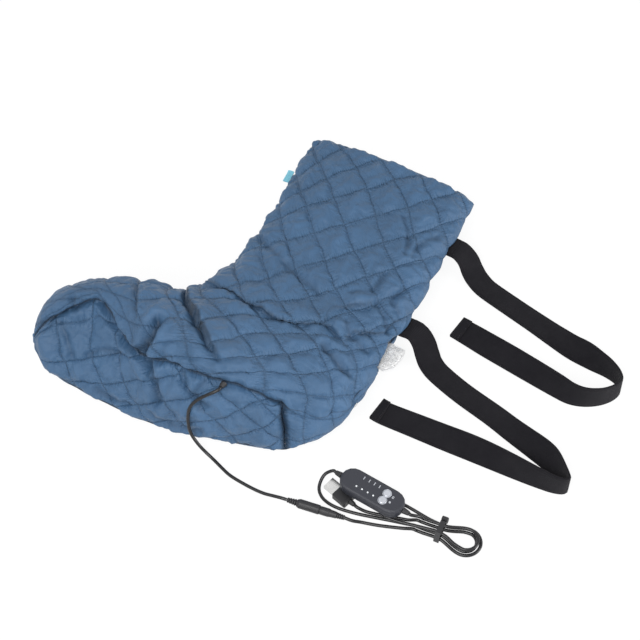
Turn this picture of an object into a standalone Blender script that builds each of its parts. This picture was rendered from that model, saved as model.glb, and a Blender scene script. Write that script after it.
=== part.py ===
"""Heated quilted boot: a padded fleece-lined boot lying on its side, two elastic
straps, and a low-voltage lead with a connector, hank, hand controller and plug."""
import math

import bmesh
import bpy
import numpy as np
from mathutils import Matrix, Vector

# Clearances
FIT = 0.0003
SEAM_GAP = 0.0003
LAYER_GAP = 0.0006
STRAND_GAP = 0.0008

# Boot: foot and leg as they lie on the floor, seen from above
FOOT_LENGTH = 0.272
FOOT_DEPTH = 0.135
FOOT_THICKNESS = 0.093
FOOT_ANGLE = math.radians(159)
LEG_LENGTH = 0.347
LEG_WIDTH = 0.190
LEG_THICKNESS = 0.050
LEG_ANGLE = math.radians(61)
HEEL_PLACE = (-0.030, -0.160)
HEEL_OVERHANG = 0.030

# Boot: layers of the padded wall
PAD_THICKNESS = 0.0065
HEATER_THICKNESS = 0.0016
LINING_THICKNESS = 0.0035
PUFF_HEIGHT = 0.0035
SOLE_BULGE = 0.007
QUILT_SPAN = 0.016
ROUNDED_WIDTHS = (0.060, 0.150)
STAND_BAND = 0.010
FOLD_HEIGHT = 0.014
TOE_FILLER_SETBACK = 0.0015
TOE_FILLER_DEPTH = 0.005
TAG_REACH = 0.007
TAG_THICKNESS = 0.0012
FLAP_TUCK = 0.012
FLAP_REACH = 0.011

# Straps
STRAP_WIDTH = 0.025
STRAP_THICKNESS = 0.0022
STRAP_SEAM_RUN = 0.0009
ANCHOR_RUN = 0.014
HEM_LENGTH = 0.012
FLOOR_CLEARANCE = 0.0001

# Cord and its connectors
CORD_DIAMETER = 0.0032
TIE_WALL = 0.0009
TIE_WIDTH = 0.005
TIE_HEAD = (0.0064, 0.0044, 0.0060)
SOCKET_DIAMETER = 0.0090
SOCKET_LENGTH = 0.0215
SOCKET_BORE = 0.0055
SOCKET_PIN_DIAMETER = 0.0021
PLUG_DIAMETER = 0.0080
PLUG_LENGTH = 0.0160
PLUG_BARREL_BORE = 0.0026
TAIL_DIAMETER = 0.0056
TAIL_LENGTH = 0.0100
PLUG_TAIL_LENGTH = 0.0070
BARREL_LENGTH = 0.0095
CONNECTOR_START = (-0.0303, -0.2070)
CONNECTOR_ANGLE = math.radians(-19.6)
PLUG_TRAVEL = 0.012
GLAND_LENGTH = 0.005
GLAND_DIAMETER = 0.0062

# Controller
CONTROL_LENGTH = 0.066
CONTROL_WIDTH = 0.025
CONTROL_HEIGHT = 0.011
CONTROL_WALL = 0.0016
CONTROL_EDGE = 0.0022
CONTROL_SPLIT = 0.0050
CONTROL_PLACE = (0.0476, -0.2051)
CONTROL_BASE = 0.0085
CONTROL_ANGLE = math.radians(-33.2)
BUTTON_DIAMETER = 0.0070
BUTTON_SPACING = 0.0082
BUTTON_RUN = 0.0133
BUTTON_PROUD = 0.0009
BUTTON_TRAVEL = 0.0005
LED_DIAMETER = 0.0018
LED_SPACING = 0.0060
LED_START = -0.0142
LED_SIDE = -0.0046
BOARD_THICKNESS = 0.0012
SWITCH_SIDE = 0.0045
SWITCH_HEIGHT = 0.0016
RELIEF_LENGTH = 0.0060
RELIEF_DIAMETER = 0.0060

# Plug that takes power
USB_SHELL = (0.0115, 0.0120, 0.0045)
USB_WALL = 0.0004
USB_BODY = (0.0160, 0.0155, 0.0080)
USB_EDGE = 0.0008
USB_TONGUE = (0.0090, 0.0100, 0.0019)
USB_RELIEF_LENGTH = 0.0050

# Colours, roughness and metallic value
FINISHES = {
    "shell": ((0.075, 0.145, 0.270), 0.55, 0.0),
    "fleece": ((0.85, 0.85, 0.84), 0.95, 0.0),
    "heater": ((0.62, 0.33, 0.12), 0.60, 0.0),
    "webbing": ((0.026, 0.026, 0.033), 0.80, 0.0),
    "tag": ((0.26, 0.67, 0.87), 0.60, 0.0),
    "cord": ((0.020, 0.020, 0.023), 0.40, 0.0),
    "housing": ((0.045, 0.048, 0.062), 0.50, 0.0),
    "button": ((0.62, 0.64, 0.68), 0.35, 0.3),
    "lamp": ((0.90, 0.92, 0.95), 0.30, 0.0),
    "board": ((0.05, 0.22, 0.10), 0.50, 0.0),
    "metal": ((0.70, 0.70, 0.70), 0.25, 1.0),
    "tongue": ((0.80, 0.80, 0.80), 0.50, 0.0),
}

# Boot loft: cells of half a quilt diamond along the boot and round it
CELLS_FOOT = 10
CELLS_HEEL = 4
CELLS_LEG = 10
CELLS_ALONG = CELLS_FOOT + CELLS_HEEL + CELLS_LEG
CELLS_TOP = 8
CELLS_SOLE = 4
CELLS_UNDER = 6
SOLE_END_CELL = CELLS_FOOT
SLIT_CELL = CELLS_FOOT + CELLS_HEEL
HEATER_ALONG = (5, 9)
HEATER_ACROSS = (CELLS_TOP + 1, CELLS_TOP + CELLS_SOLE - 1)
CUTOUT_CELL = (6, CELLS_TOP + 1)
CUTOUT_ALONG_SHARES = (0.5, 0.95)
CUTOUT_ACROSS_SHARES = (0.1, 0.4)
TAG_ROWS = (41, 42, 43)
FLAP_ROWS = (28.3, 29, 30, 31)
FLAP_SHARES = (0.15, 0.8, 1.0, 0.9)
HEEL_STATION = 8
SLIT_STATION = 11

# The padding's thickness at the seams and in the rows beside them
PINCH_SHARES = (0.45, 0.65, 0.82)

# The gathered toe seam's outline, as a share of the toe's opening
TOE_FILLER_SHARE = 0.84

# Stations from the toe to the top of the leg: frame, then the front seam, the
# upper sole seam and the lower sole seam, each as shares along and across the
# foot or leg and of its thickness, then the crown's share of the thickness.
STATION_SHARES = [
    ("foot", (1.02, 0.31, 0.37), (1.00, 0.12, 0.40), (0.99, 0.08, 0.33), 0.40),
    ("foot", (1.00, 0.45, 0.45), (0.95, 0.19, 0.62), (0.92, -0.01, 0.15), 0.66),
    ("foot", (0.94, 0.58, 0.49), (0.87, 0.34, 0.73), (0.80, -0.06, 0.09), 0.78),
    ("foot", (0.84, 0.69, 0.52), (0.76, 0.38, 0.80), (0.68, -0.09, 0.06), 0.87),
    ("foot", (0.73, 0.77, 0.52), (0.62, 0.23, 0.84), (0.53, -0.13, 0.06), 0.95),
    ("foot", (0.63, 0.80, 0.52), (0.48, 0.10, 0.86), (0.38, -0.12, 0.06), 1.00),
    ("foot", (0.56, 0.83, 0.47), (0.31, 0.07, 0.85), (0.23, -0.08, 0.06), 0.99),
    ("foot", (0.54, 0.88, 0.41), (0.17, 0.12, 0.75), (0.12, -0.04, 0.06), 0.91),
    ("foot", (0.53, 0.96, 0.38), (0.05, 0.17, 0.56), (0.01, 0.01, 0.06), 0.82),
    ("leg", (0.35, 0.98, 0.66), (0.12, 0.04, 0.68), (0.11, 0.02, 0.24), 1.36),
    ("leg", (0.40, 0.98, 0.60), (0.22, 0.00, 0.60), (0.22, -0.02, 0.32), 1.20),
    ("leg", (0.45, 0.96, 0.56), (0.33, -0.03, 0.54), (0.33, -0.03, 0.40), 1.08),
    ("leg", (0.57, 0.95, 0.52), (0.46, -0.03, 0.53), (0.46, -0.03, 0.40), 1.02),
    ("leg", (0.73, 0.97, 0.50), (0.67, -0.01, 0.52), (0.67, -0.01, 0.39), 0.99),
    ("leg", (0.86, 1.00, 0.50), (0.85, 0.01, 0.52), (0.85, 0.01, 0.39), 0.95),
    ("leg", (0.99, 1.03, 0.47), (1.00, 0.02, 0.50), (1.00, 0.02, 0.37), 0.86),
]
# How far each station's belly is pressed flat on the floor
BELLY_SHARES = [0.0, 0.8] + [1.0] * 14

# The strap's sewn first edge is thin, as a share of its thickness
STRAP_ROOT_SHARE = 0.4

# Strap routes: the edge that lies on the floor, as x and y from a place on the leg's
# back edge, height and tilt in degrees; the place is a share of the leg's length
UPPER_STRAP_ALONG_SHARE = 0.79
LOWER_STRAP_ALONG_SHARE = 0.466
UPPER_STRAP_ROUTE = [
    (0.0019, -0.0012, 0.0200, 0), (0.0064, -0.0042, 0.0197, 0), (0.0114, -0.0087, 0.0150, 0),
    (0.0154, -0.0142, 0.0060, 0), (0.0209, -0.0227, 0.0010, 0), (0.0309, -0.0362, 0, 0),
    (0.0529, -0.0567, 0, 0), (0.0774, -0.0790, 0, 2), (0.0969, -0.0977, 0, 10),
    (0.1139, -0.1132, 0, 25), (0.1329, -0.1257, 0, 55), (0.1489, -0.1347, 0, 78),
    (0.1584, -0.1437, 0, 90), (0.1594, -0.1532, 0, 92), (0.1519, -0.1612, 0, 95),
    (0.1389, -0.1667, 0, 98), (0.1229, -0.1682, 0, 104), (0.1079, -0.1650, 0, 115),
    (0.0929, -0.1557, 0, 125), (0.0709, -0.1402, 0, 135), (0.0489, -0.1242, 0, 145),
    (0.0279, -0.1087, 0, 155), (0.0109, -0.0952, 0, 165), (-0.0006, -0.0862, 0, 172),
]
LOWER_STRAP_ROUTE = [
    (0.0069, -0.0039, 0.0204, 0), (0.0114, -0.0064, 0.0200, 0), (0.0154, -0.0114, 0.0150, 0),
    (0.0184, -0.0179, 0.0070, 0), (0.0224, -0.0269, 0.0015, 0), (0.0314, -0.0404, 0, 0),
    (0.0531, -0.0634, 0, 0), (0.0820, -0.0895, 0, 2), (0.0995, -0.1069, 0, 7),
    (0.1154, -0.1224, 0, 18), (0.1314, -0.1379, 0, 42), (0.1444, -0.1499, 0, 72),
    (0.1519, -0.1574, 0, 88), (0.1534, -0.1624, 0, 91), (0.1494, -0.1654, 0, 94),
    (0.1394, -0.1641, 0, 98), (0.1254, -0.1589, 0, 106), (0.1087, -0.1517, 0, 116),
    (0.0887, -0.1424, 0, 128), (0.0602, -0.1289, 0, 147), (0.0382, -0.1184, 0, 160),
    (0.0094, -0.1039, 0, 170), (-0.0181, -0.0902, 0, 175), (-0.0276, -0.0839, 0, 176),
]

# Lead from the sole seam to the connector: plan offsets from the straight line
# between the two, and heights as shares of the seam's height
LEAD_ROW = 17
LEAD_ROUTE = [
    (0.0008, -0.0073, 1.0101), (-0.0053, -0.0051, 1.0075), (-0.0151, -0.0018, 0.9769), (-0.0274, 0.0029, 0.9038),
    (-0.0392, 0.0072, 0.8041), (-0.0480, 0.0109, 0.6911), (-0.0538, 0.0131, 0.5184), (-0.0561, 0.0134, 0.3190),
    (-0.0539, 0.0136, 0.1728), (-0.0512, 0.0144, 0.0797), (-0.0480, 0.0141, 0.0346), (-0.0432, 0.0103, 0.0226),
    (-0.0385, 0.0066, 0.0226), (-0.0283, 0.0023, 0.0226), (-0.0171, -0.0010, 0.0253), (-0.0089, -0.0006, 0.0452),
    (-0.0047, 0.0017, 0.0598),
]

# Hank: its own frame runs along the bundle from its left fold, tie at TIE_RUN
HANK_TIE_PLACE = (0.1090, -0.2380)
HANK_ANGLE = math.radians(-24)
TIE_RUN = 0.072
HANK_START_RUN = 0.052
HANK_END_RUN = 0.058
RIGHT_FOLD_RUN = 0.097
LEFT_FOLD_RUN = 0.024
FOLD_RADIUS = 0.0096
HANK_POINTS_PER_TURN = 24
HANK_FOLD_POINTS = 8
# Strands at the tie in pitches from the bundle's middle: the connector's cord
# goes out and back, folds, then goes out and back on the layer above.
STRAND_OUT_SHARE = 2.0
STRAND_BACK_SHARE = 1.5
STRAND_UPPER_SHARE = 1.0
POWER_OUT_SHARE = 1.0
POWER_BACK_SHARE = 0.5

# Free cords in the hank's frame: along, across, height
PLUG_CORD_ROUTE = [
    (0.0000, -0.0215, 0.0022), (0.0130, -0.0186, 0.0017), (0.0260, -0.0152, 0.0017),
    (0.0380, -0.0115, 0.0018), (0.0460, -0.0093, 0.0020),
]
RETURN_CORD_ROUTE = [
    (0.0530, 0.0025, 0.0086), (0.0480, 0.0010, 0.0112),
]
POWER_CORD_ROUTE = [
    (-0.0425, 0.0105, 0.0118), (-0.0460, 0.0075, 0.0095), (-0.0472, 0.0015, 0.0062),
    (-0.0460, -0.0052, 0.0034), (-0.0410, -0.0110, 0.0020), (-0.0320, -0.0148, 0.0017),
    (-0.0205, -0.0158, 0.0017), (-0.0050, -0.0143, 0.0017), (0.0100, -0.0115, 0.0017),
    (0.0250, -0.0085, 0.0017), (0.0400, -0.0058, 0.0019), (0.0460, -0.0049, 0.0020),
]
USB_CORD_ROUTE = [
    (0.0460, 0.0000, 0.0020), (0.0400, -0.0014, 0.0019), (0.0250, -0.0046, 0.0017),
    (0.0120, -0.0073, 0.0017), (0.0030, -0.0088, 0.0019), (-0.0030, -0.0090, 0.0028),
]
USB_TIP = (-0.0405, 0.0034)
USB_ANGLE = math.radians(-20)


def clear_scene():
    """Remove what the file holds, so that the part starts from nothing."""
    for thing in list(bpy.data.objects):
        bpy.data.objects.remove(thing, do_unlink=True)


def finish(name):
    """A Principled material with the colour, roughness and metallic value of a finish."""
    material = bpy.data.materials.get(name)
    if material:
        return material
    colour, roughness, metallic = FINISHES[name]
    material = bpy.data.materials.new(name)
    material.use_nodes = True
    shader = material.node_tree.nodes["Principled BSDF"]
    shader.inputs["Base Color"].default_value = (*colour, 1.0)
    shader.inputs["Roughness"].default_value = roughness
    shader.inputs["Metallic"].default_value = metallic
    return material


def add_object(name, data, material):
    """Link mesh or curve data as one named piece."""
    thing = bpy.data.objects.new(name, data)
    thing.data.materials.append(finish(material))
    bpy.context.collection.objects.link(thing)
    return thing


def mesh_object(name, vertices, faces, material, smooth=False):
    """One closed piece from vertices and faces, its normals turned outwards."""
    mesh = bpy.data.meshes.new(name)
    mesh.from_pydata([tuple(v) for v in vertices], [], faces)
    work = bmesh.new()
    work.from_mesh(mesh)
    bmesh.ops.recalc_face_normals(work, faces=work.faces)
    work.to_mesh(mesh)
    work.free()
    if smooth:
        mesh.shade_smooth()
        mesh.set_sharp_from_angle(angle=math.radians(40))
    return add_object(name, mesh, material)


def loft(name, loops, material, place=None, smooth=False):
    """Bridge loops of equal count one after another and cap the first and last."""
    count = len(loops[0])
    vertices = [Vector(point) for loop in loops for point in loop]
    if place:
        vertices = [place @ vertex for vertex in vertices]
    faces = [list(range(count))[::-1], [len(vertices) - count + i for i in range(count)]]
    for ring in range(len(loops) - 1):
        for i in range(count):
            j = (i + 1) % count
            low = ring * count
            high = low + count
            faces.append([low + i, low + j, high + j, high + i])
    return mesh_object(name, vertices, faces, material, smooth)


def cut(target, cutter):
    """Take the cutter's shape out of a piece."""
    cutter.hide_render = True
    cutter.display_type = "WIRE"
    modifier = target.modifiers.new("cut_" + cutter.name, "BOOLEAN")
    modifier.operation = "DIFFERENCE"
    modifier.object = cutter


def smooth_path(points, steps):
    """Points on a Catmull-Rom curve through the given points."""
    ends = [2 * np.array(points[0]) - np.array(points[1])]
    ends += [np.array(point, dtype=float) for point in points]
    ends += [2 * np.array(points[-1]) - np.array(points[-2])]
    path = []
    for k in range(1, len(ends) - 2):
        before, start, end, after = ends[k - 1:k + 3]
        for step in range(steps):
            t = step / steps
            path.append(0.5 * (2 * start + (end - before) * t
                               + (2 * before - 5 * start + 4 * end - after) * t * t
                               + (3 * start - before - 3 * end + after) * t ** 3))
    path.append(ends[-2])
    return np.array(path)


def resample(path, spacing):
    """Even points along a path, about one spacing apart."""
    steps = np.linalg.norm(np.diff(path[:, :3], axis=0), axis=1)
    reach = np.concatenate([[0.0], np.cumsum(steps)])
    count = max(2, int(round(reach[-1] / spacing)) + 1)
    marks = np.linspace(0, reach[-1], count)
    return np.array([[np.interp(mark, reach, path[:, axis]) for axis in range(path.shape[1])]
                     for mark in marks])


def turn_place(place, height, angle):
    """The frame of a piece that lies on the floor at a place and heading."""
    return Matrix.Translation((*place, height)) @ Matrix.Rotation(angle, 4, "Z")


def carry(name, place, pieces, parent=None):
    """An empty on a joint's axis that carries the pieces that move together."""
    pivot = bpy.data.objects.new(name, None)
    bpy.context.collection.objects.link(pivot)
    if parent:
        pivot.parent = parent
        pivot.matrix_parent_inverse = parent.matrix_world.inverted()
    pivot.matrix_basis = place
    bpy.context.view_layer.update()
    for piece in pieces:
        thing = bpy.data.objects[piece]
        thing.parent = pivot
        thing.matrix_parent_inverse = pivot.matrix_world.inverted()
    return pivot


def boot_point(frame, along, across):
    """A point in plan from shares of the foot's or the leg's sizes."""
    heel = np.array(HEEL_PLACE)
    if frame == "foot":
        axis = np.array([math.cos(FOOT_ANGLE), math.sin(FOOT_ANGLE)])
        side = np.array([math.sin(FOOT_ANGLE), -math.cos(FOOT_ANGLE)])
        return heel + axis * along * FOOT_LENGTH + side * across * FOOT_DEPTH
    axis = np.array([math.cos(LEG_ANGLE), math.sin(LEG_ANGLE)])
    side = np.array([-math.sin(LEG_ANGLE), math.cos(LEG_ANGLE)])
    return heel + axis * along * LEG_LENGTH + side * (across * LEG_WIDTH - HEEL_OVERHANG)


def boot_stations():
    """Front seam, upper and lower sole seam, crown and belly, at even steps along."""
    rows = []
    for (frame, front, upper, lower, crown), belly in zip(STATION_SHARES, BELLY_SHARES):
        thickness = FOOT_THICKNESS if frame == "foot" else LEG_THICKNESS
        row = []
        for along, across, height in (front, upper, lower):
            row += [*boot_point(frame, along, across), height * thickness]
        rows.append(row + [crown * thickness, belly])
    steps = 8
    path = smooth_path(rows, steps)
    front_steps = np.linalg.norm(np.diff(path[:, 0:3], axis=0), axis=1)
    lower_steps = np.linalg.norm(np.diff(path[:, 6:9], axis=0), axis=1)
    reach = np.concatenate([[0.0], np.cumsum(front_steps + lower_steps)])
    bounds = [0, steps * HEEL_STATION, steps * SLIT_STATION, len(path) - 1]
    marks = [0.0]
    for first, last, cells in zip(bounds[:-1], bounds[1:], (CELLS_FOOT, CELLS_HEEL, CELLS_LEG)):
        marks += list(np.linspace(reach[first], reach[last], 2 * cells + 1)[1:])
    return np.array([[np.interp(mark, reach, path[:, c]) for c in range(path.shape[1])]
                     for mark in marks])


def round_share(v, width):
    """Share across a rounded panel: on a wide one the points crowd to its edges."""
    narrow, wide = ROUNDED_WIDTHS
    crowding = 0.55 * min(1.0, max(0.0, (width - narrow) / (wide - narrow)))
    return v - crowding * math.sin(2 * math.pi * v) / (2 * math.pi)


def boot_grid():
    """Outer points of the boot: a closed loop round it at each step along it."""
    stations = boot_stations()
    around = 2 * (CELLS_TOP + CELLS_SOLE + CELLS_UNDER)
    grid = np.zeros((len(stations), around, 3))
    for p, row in enumerate(stations):
        front, upper, lower = row[0:3], row[3:6], row[6:9]
        crown, belly = row[9], min(1.0, max(0.0, row[10]))
        for q in range(2 * CELLS_TOP + 1):
            v = q / (2 * CELLS_TOP)
            point = front + (upper - front) * round_share(v, np.linalg.norm(upper - front))
            rise = crown - 0.5 * (front[2] + upper[2])
            point[2] += rise * math.sin(math.pi * v) ** 0.7
            grid[p, q] = point
        outward = sole_outward(front, lower)
        for q in range(1, 2 * CELLS_SOLE + 1):
            t = q / (2 * CELLS_SOLE)
            height_share = min(1.0, (upper[2] - lower[2]) / (0.5 * FOOT_THICKNESS))
            bulge = SOLE_BULGE * math.sin(math.pi * t) * height_share
            grid[p, 2 * CELLS_TOP + q] = upper + (lower - upper) * t + outward * bulge
        for q in range(1, 2 * CELLS_UNDER):
            v = q / (2 * CELLS_UNDER)
            point = lower + (front - lower) * round_share(v, np.linalg.norm(front - lower))
            press = min(1.0, math.sin(math.pi * v) / math.sin(0.28 * math.pi))
            point[2] *= 1 - belly * press
            grid[p, 2 * (CELLS_TOP + CELLS_SOLE) + q] = point
    return straighten_seams(grid)


def sole_outward(front, lower):
    """Level direction from the front seam towards the sole."""
    away = lower - front
    away[2] = 0
    return away / np.linalg.norm(away)


def straighten_seams(grid):
    """Put the half-cell points of every seam midway between their neighbours."""
    for q in (0, 2 * CELLS_TOP, 2 * (CELLS_TOP + CELLS_SOLE)):
        grid[1:-1:2, q] = 0.5 * (grid[0:-2:2, q] + grid[2::2, q])
    low, high = 2 * CELLS_TOP, 2 * (CELLS_TOP + CELLS_SOLE)
    for p in (2 * SOLE_END_CELL, 2 * SLIT_CELL):
        start, end = grid[p, low].copy(), grid[p, high].copy()
        for q in range(low, high + 1):
            grid[p, q] = start + (end - start) * (q - low) / (high - low)
    for p in (0, len(grid) - 1):
        ring = grid[p]
        ring[1::2] = 0.5 * (ring[0::2] + np.roll(ring[0::2], -1, axis=0))
    return grid


def grid_normals(grid):
    """Outward direction at each point, turned along the foot at the toe."""
    rows, columns = grid.shape[:2]
    normals = np.zeros_like(grid)
    low, high = 2 * CELLS_TOP, 2 * (CELLS_TOP + CELLS_SOLE)
    for p in range(rows - 1):
        for q in range(columns):
            if p >= 2 * SLIT_CELL and low <= q < high:
                continue
            r = (q + 1) % columns
            face = np.cross(grid[p + 1, r] - grid[p, q], grid[p, r] - grid[p + 1, q])
            face /= np.linalg.norm(face)
            for corner in ((p, q), (p, r), (p + 1, q), (p + 1, r)):
                normals[corner] += face
    middle = grid.mean(axis=1)
    if normals[rows // 2, CELLS_TOP][2] < 0:
        normals = -normals
    for p in range(2 * SLIT_CELL, rows):
        for q in range(low + 1, high):
            normals[p, q] = normals[p, low] + normals[p, high]
    normals /= np.linalg.norm(normals, axis=2, keepdims=True)
    for p in range(2 * SOLE_END_CELL, rows):
        opening = grid[p, low][2] - grid[p, high][2]
        level = min(1.0, max(0.0, opening / (2 * FOLD_HEIGHT) - 0.5))
        for q in range(low, high + 1):
            normals[p, q][2] *= level
            normals[p, q] /= np.linalg.norm(normals[p, q])
    toe = middle[0] - middle[4]
    toe /= np.linalg.norm(toe)
    normals[0] = toe
    for p, weight in ((1, 0.8), (2, 0.4)):
        normals[p] += toe * weight
        normals[p] /= np.linalg.norm(normals[p], axis=1, keepdims=True)
    return normals


def depth_share(q):
    """The padding is pinched thin at the seams: share of the full thickness."""
    columns = 2 * (CELLS_TOP + CELLS_SOLE + CELLS_UNDER)
    seams = (0, 2 * CELLS_TOP, 2 * (CELLS_TOP + CELLS_SOLE), columns)
    nearest = min(abs(q - seam) for seam in seams)
    return PINCH_SHARES[nearest] if nearest < len(PINCH_SHARES) else 1.0


def pocket_share(p, q):
    """The heater's pocket under the sole: share of its depth, none at the seams."""
    beyond = 0
    for row, (first, last) in ((p, HEATER_ALONG), (q, HEATER_ACROSS)):
        beyond = max(beyond, 2 * first - row, row - 2 * last)
    return max(0.0, 1 - 0.5 * beyond)


def puff(p, q):
    """Share of the quilting's height: diamonds with their seams on the diagonals."""
    return abs(math.sin(math.pi * (p + q) / 4)) * abs(math.sin(math.pi * (p - q) / 4))


class BootWall:
    """The boot's grid and the padded layers that follow it."""

    def __init__(self):
        self.grid = boot_grid()
        self.normals = grid_normals(self.grid)
        self.columns = self.grid.shape[1]
        self.cells = self.columns // 2

    def at(self, p, q, depth, pinched=0.0, pocket=0.0):
        """A point under the outer face: a plain depth, one pinched at the seams
        and one for the heater's pocket."""
        q = q % self.columns
        depth += pinched * depth_share(q) + pocket * pocket_share(p, q)
        return self.grid[p, q] - self.normals[p, q] * depth

    def shift(self, region, i, j):
        """Way from a region's border point into the region, one seam gap long."""
        pull = np.zeros(3)
        for a, b in ((i - 1, j - 1), (i - 1, j), (i, j - 1), (i, j)):
            b = b % self.cells
            if (a, b) in region:
                centre = self.grid[2 * a + 1, (2 * b + 1) % self.columns]
                pull += centre - self.grid[2 * i, (2 * j) % self.columns]
        return pull / np.linalg.norm(pull) * SEAM_GAP

    def border_edges(self, region):
        """Cell edges that only one cell of the region touches, in half-cell steps."""
        edges = []
        for i, j in sorted(region):
            if (i - 1, j) not in region:
                edges.append(((2 * i, 2 * j), (2 * i, 2 * j + 2)))
            if (i + 1, j) not in region:
                edges.append(((2 * i + 2, 2 * j + 2), (2 * i + 2, 2 * j)))
            if (i, (j - 1) % self.cells) not in region:
                edges.append(((2 * i + 2, 2 * j), (2 * i, 2 * j)))
            if (i, (j + 1) % self.cells) not in region:
                edges.append(((2 * i, 2 * j + 2), (2 * i + 2, 2 * j + 2)))
        return edges

    def layer(self, name, region, outer, inner, material, quilted=False):
        """A closed layer over a region of cells, between an outer and an inner
        depth; a quilted layer has a fine outer face with puffs."""
        region = set(region)
        edges = self.border_edges(region)
        rim = {}
        for start, end in edges:
            for p, q in (start, end):
                rim[(p, q % self.columns)] = self.shift(region, p // 2, q // 2)
        for start, end in edges:
            middle = ((start[0] + end[0]) // 2, ((start[1] + end[1]) // 2) % self.columns)
            first = rim[(start[0], start[1] % self.columns)]
            second = rim[(end[0], end[1] % self.columns)]
            rim[middle] = 0.5 * (first + second)
        vertices, index = [], {}

        def vertex(side, p, q):
            q = q % self.columns
            key = (side, p, q)
            if key not in index:
                point = self.at(p, q, *(outer if side == "outer" else inner))
                if (p, q) in rim:
                    point = point + rim[(p, q)]
                elif side == "outer" and quilted:
                    point = point + self.normals[p, q] * self.lift(p, q)
                index[key] = len(vertices)
                vertices.append(point)
            return index[key]

        faces = []
        for i, j in sorted(region):
            corners = [(2 * i, 2 * j), (2 * i + 2, 2 * j), (2 * i + 2, 2 * j + 2), (2 * i, 2 * j + 2)]
            for tri in split_square(corners, (i - j) % 2 == 0):
                faces.append([vertex("inner", *corner) for corner in tri])
                if not quilted:
                    faces.append([vertex("outer", *corner) for corner in tri[::-1]])
            if quilted:
                for a in (2 * i, 2 * i + 1):
                    for b in (2 * j, 2 * j + 1):
                        square = [(a, b), (a + 1, b), (a + 1, b + 1), (a, b + 1)]
                        for tri in split_square(square, (a - b) % 4 == 0 or (a + b + 1) % 4 == 2):
                            faces.append([vertex("outer", *corner) for corner in tri[::-1]])
        for start, end in edges:
            a, b = vertex("outer", *start), vertex("outer", *end)
            c, d = vertex("inner", *end), vertex("inner", *start)
            if quilted:
                m = vertex("outer", (start[0] + end[0]) // 2, (start[1] + end[1]) // 2)
                faces += [[a, m, d], [m, b, c], [m, c, d]]
            else:
                faces += [[a, b, c], [a, c, d]]
        return mesh_object(name, vertices, faces, material, smooth=True)

    def lift(self, p, q):
        """The quilting's height at a point: low where the cells are crowded or
        lie near the floor."""
        span = np.linalg.norm(self.grid[p, (q + 1) % self.columns] - self.grid[p, q - 1])
        crowd = min(1.0, span / QUILT_SPAN) ** 2
        near_floor = min(1.0, max(0.0, self.grid[p, q][2] / STAND_BAND))
        return PUFF_HEIGHT * puff(p, q) * crowd * near_floor

    def toe_filler(self, name, material):
        """The gathered seam allowance that closes the toe, behind its seam."""
        ring = self.grid[0, ::2]
        middle = ring.mean(axis=0)
        inwards = -self.normals[0, 0]
        loops = []
        for depth in (TOE_FILLER_SETBACK, TOE_FILLER_SETBACK + TOE_FILLER_DEPTH):
            loops.append([middle + (point - middle) * TOE_FILLER_SHARE + inwards * depth for point in ring])
        return loft(name, loops, material)

    def patch(self, name, cell, along, across, outer, inner, material):
        """A small closed block in the first triangle of one cell, between two depths."""
        i, j = cell
        first, second, third = split_square(
            [(2 * i, 2 * j), (2 * i + 2, 2 * j), (2 * i + 2, 2 * j + 2), (2 * i, 2 * j + 2)],
            (i - j) % 2 == 0)[0]

        def corner(u, v, depth):
            start, turn, end = (self.at(p, q, *depth) for p, q in (first, second, third))
            return start + u * (turn - start) + v * (end - turn)

        ring = [(along[0], across[0]), (along[1], across[0]), (along[1], across[1]), (along[0], across[1])]
        loops = [[corner(u, v, depth) for u, v in ring] for depth in (outer, inner)]
        return loft(name, loops, material)

    def seam_strip(self, name, rows, column, reaches, thickness, height, material):
        """A thin strip that stands out of a seam, over some rows of one column."""
        loops = []
        for row, reach in zip(rows, reaches):
            low, high = int(row), min(int(row) + 1, len(self.grid) - 1)
            edge = self.grid[low, column] + (self.grid[high, column] - self.grid[low, column]) * (row - low)
            outward = self.normals[low, column].copy()
            outward[2] = 0
            outward /= np.linalg.norm(outward)
            near, far = edge + outward * reach[0], edge + outward * reach[1]
            rise = np.array([0.0, 0.0, height])
            wall = np.array([0.0, 0.0, thickness])
            loops.append([near + rise, far + rise, far + rise + wall, near + rise + wall])
        return loft(name, loops, material)


def split_square(corners, first_diagonal):
    """Two triangles of a square, split along its first or its second diagonal."""
    a, b, c, d = corners
    return ([a, b, c], [a, c, d]) if first_diagonal else ([a, b, d], [b, c, d])


def boot_regions():
    """The cells of the upper flank with the heel, the sole and the lower flank."""
    top = range(CELLS_TOP)
    sole = range(CELLS_TOP, CELLS_TOP + CELLS_SOLE)
    under = range(CELLS_TOP + CELLS_SOLE, CELLS_TOP + CELLS_SOLE + CELLS_UNDER)
    upper_flank = [(i, j) for i in range(CELLS_ALONG) for j in top]
    upper_flank += [(i, j) for i in range(SOLE_END_CELL, SLIT_CELL) for j in sole]
    sole_cells = [(i, j) for i in range(SOLE_END_CELL) for j in sole]
    lower_flank = [(i, j) for i in range(CELLS_ALONG) for j in under]
    return upper_flank, sole_cells, lower_flank


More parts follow.
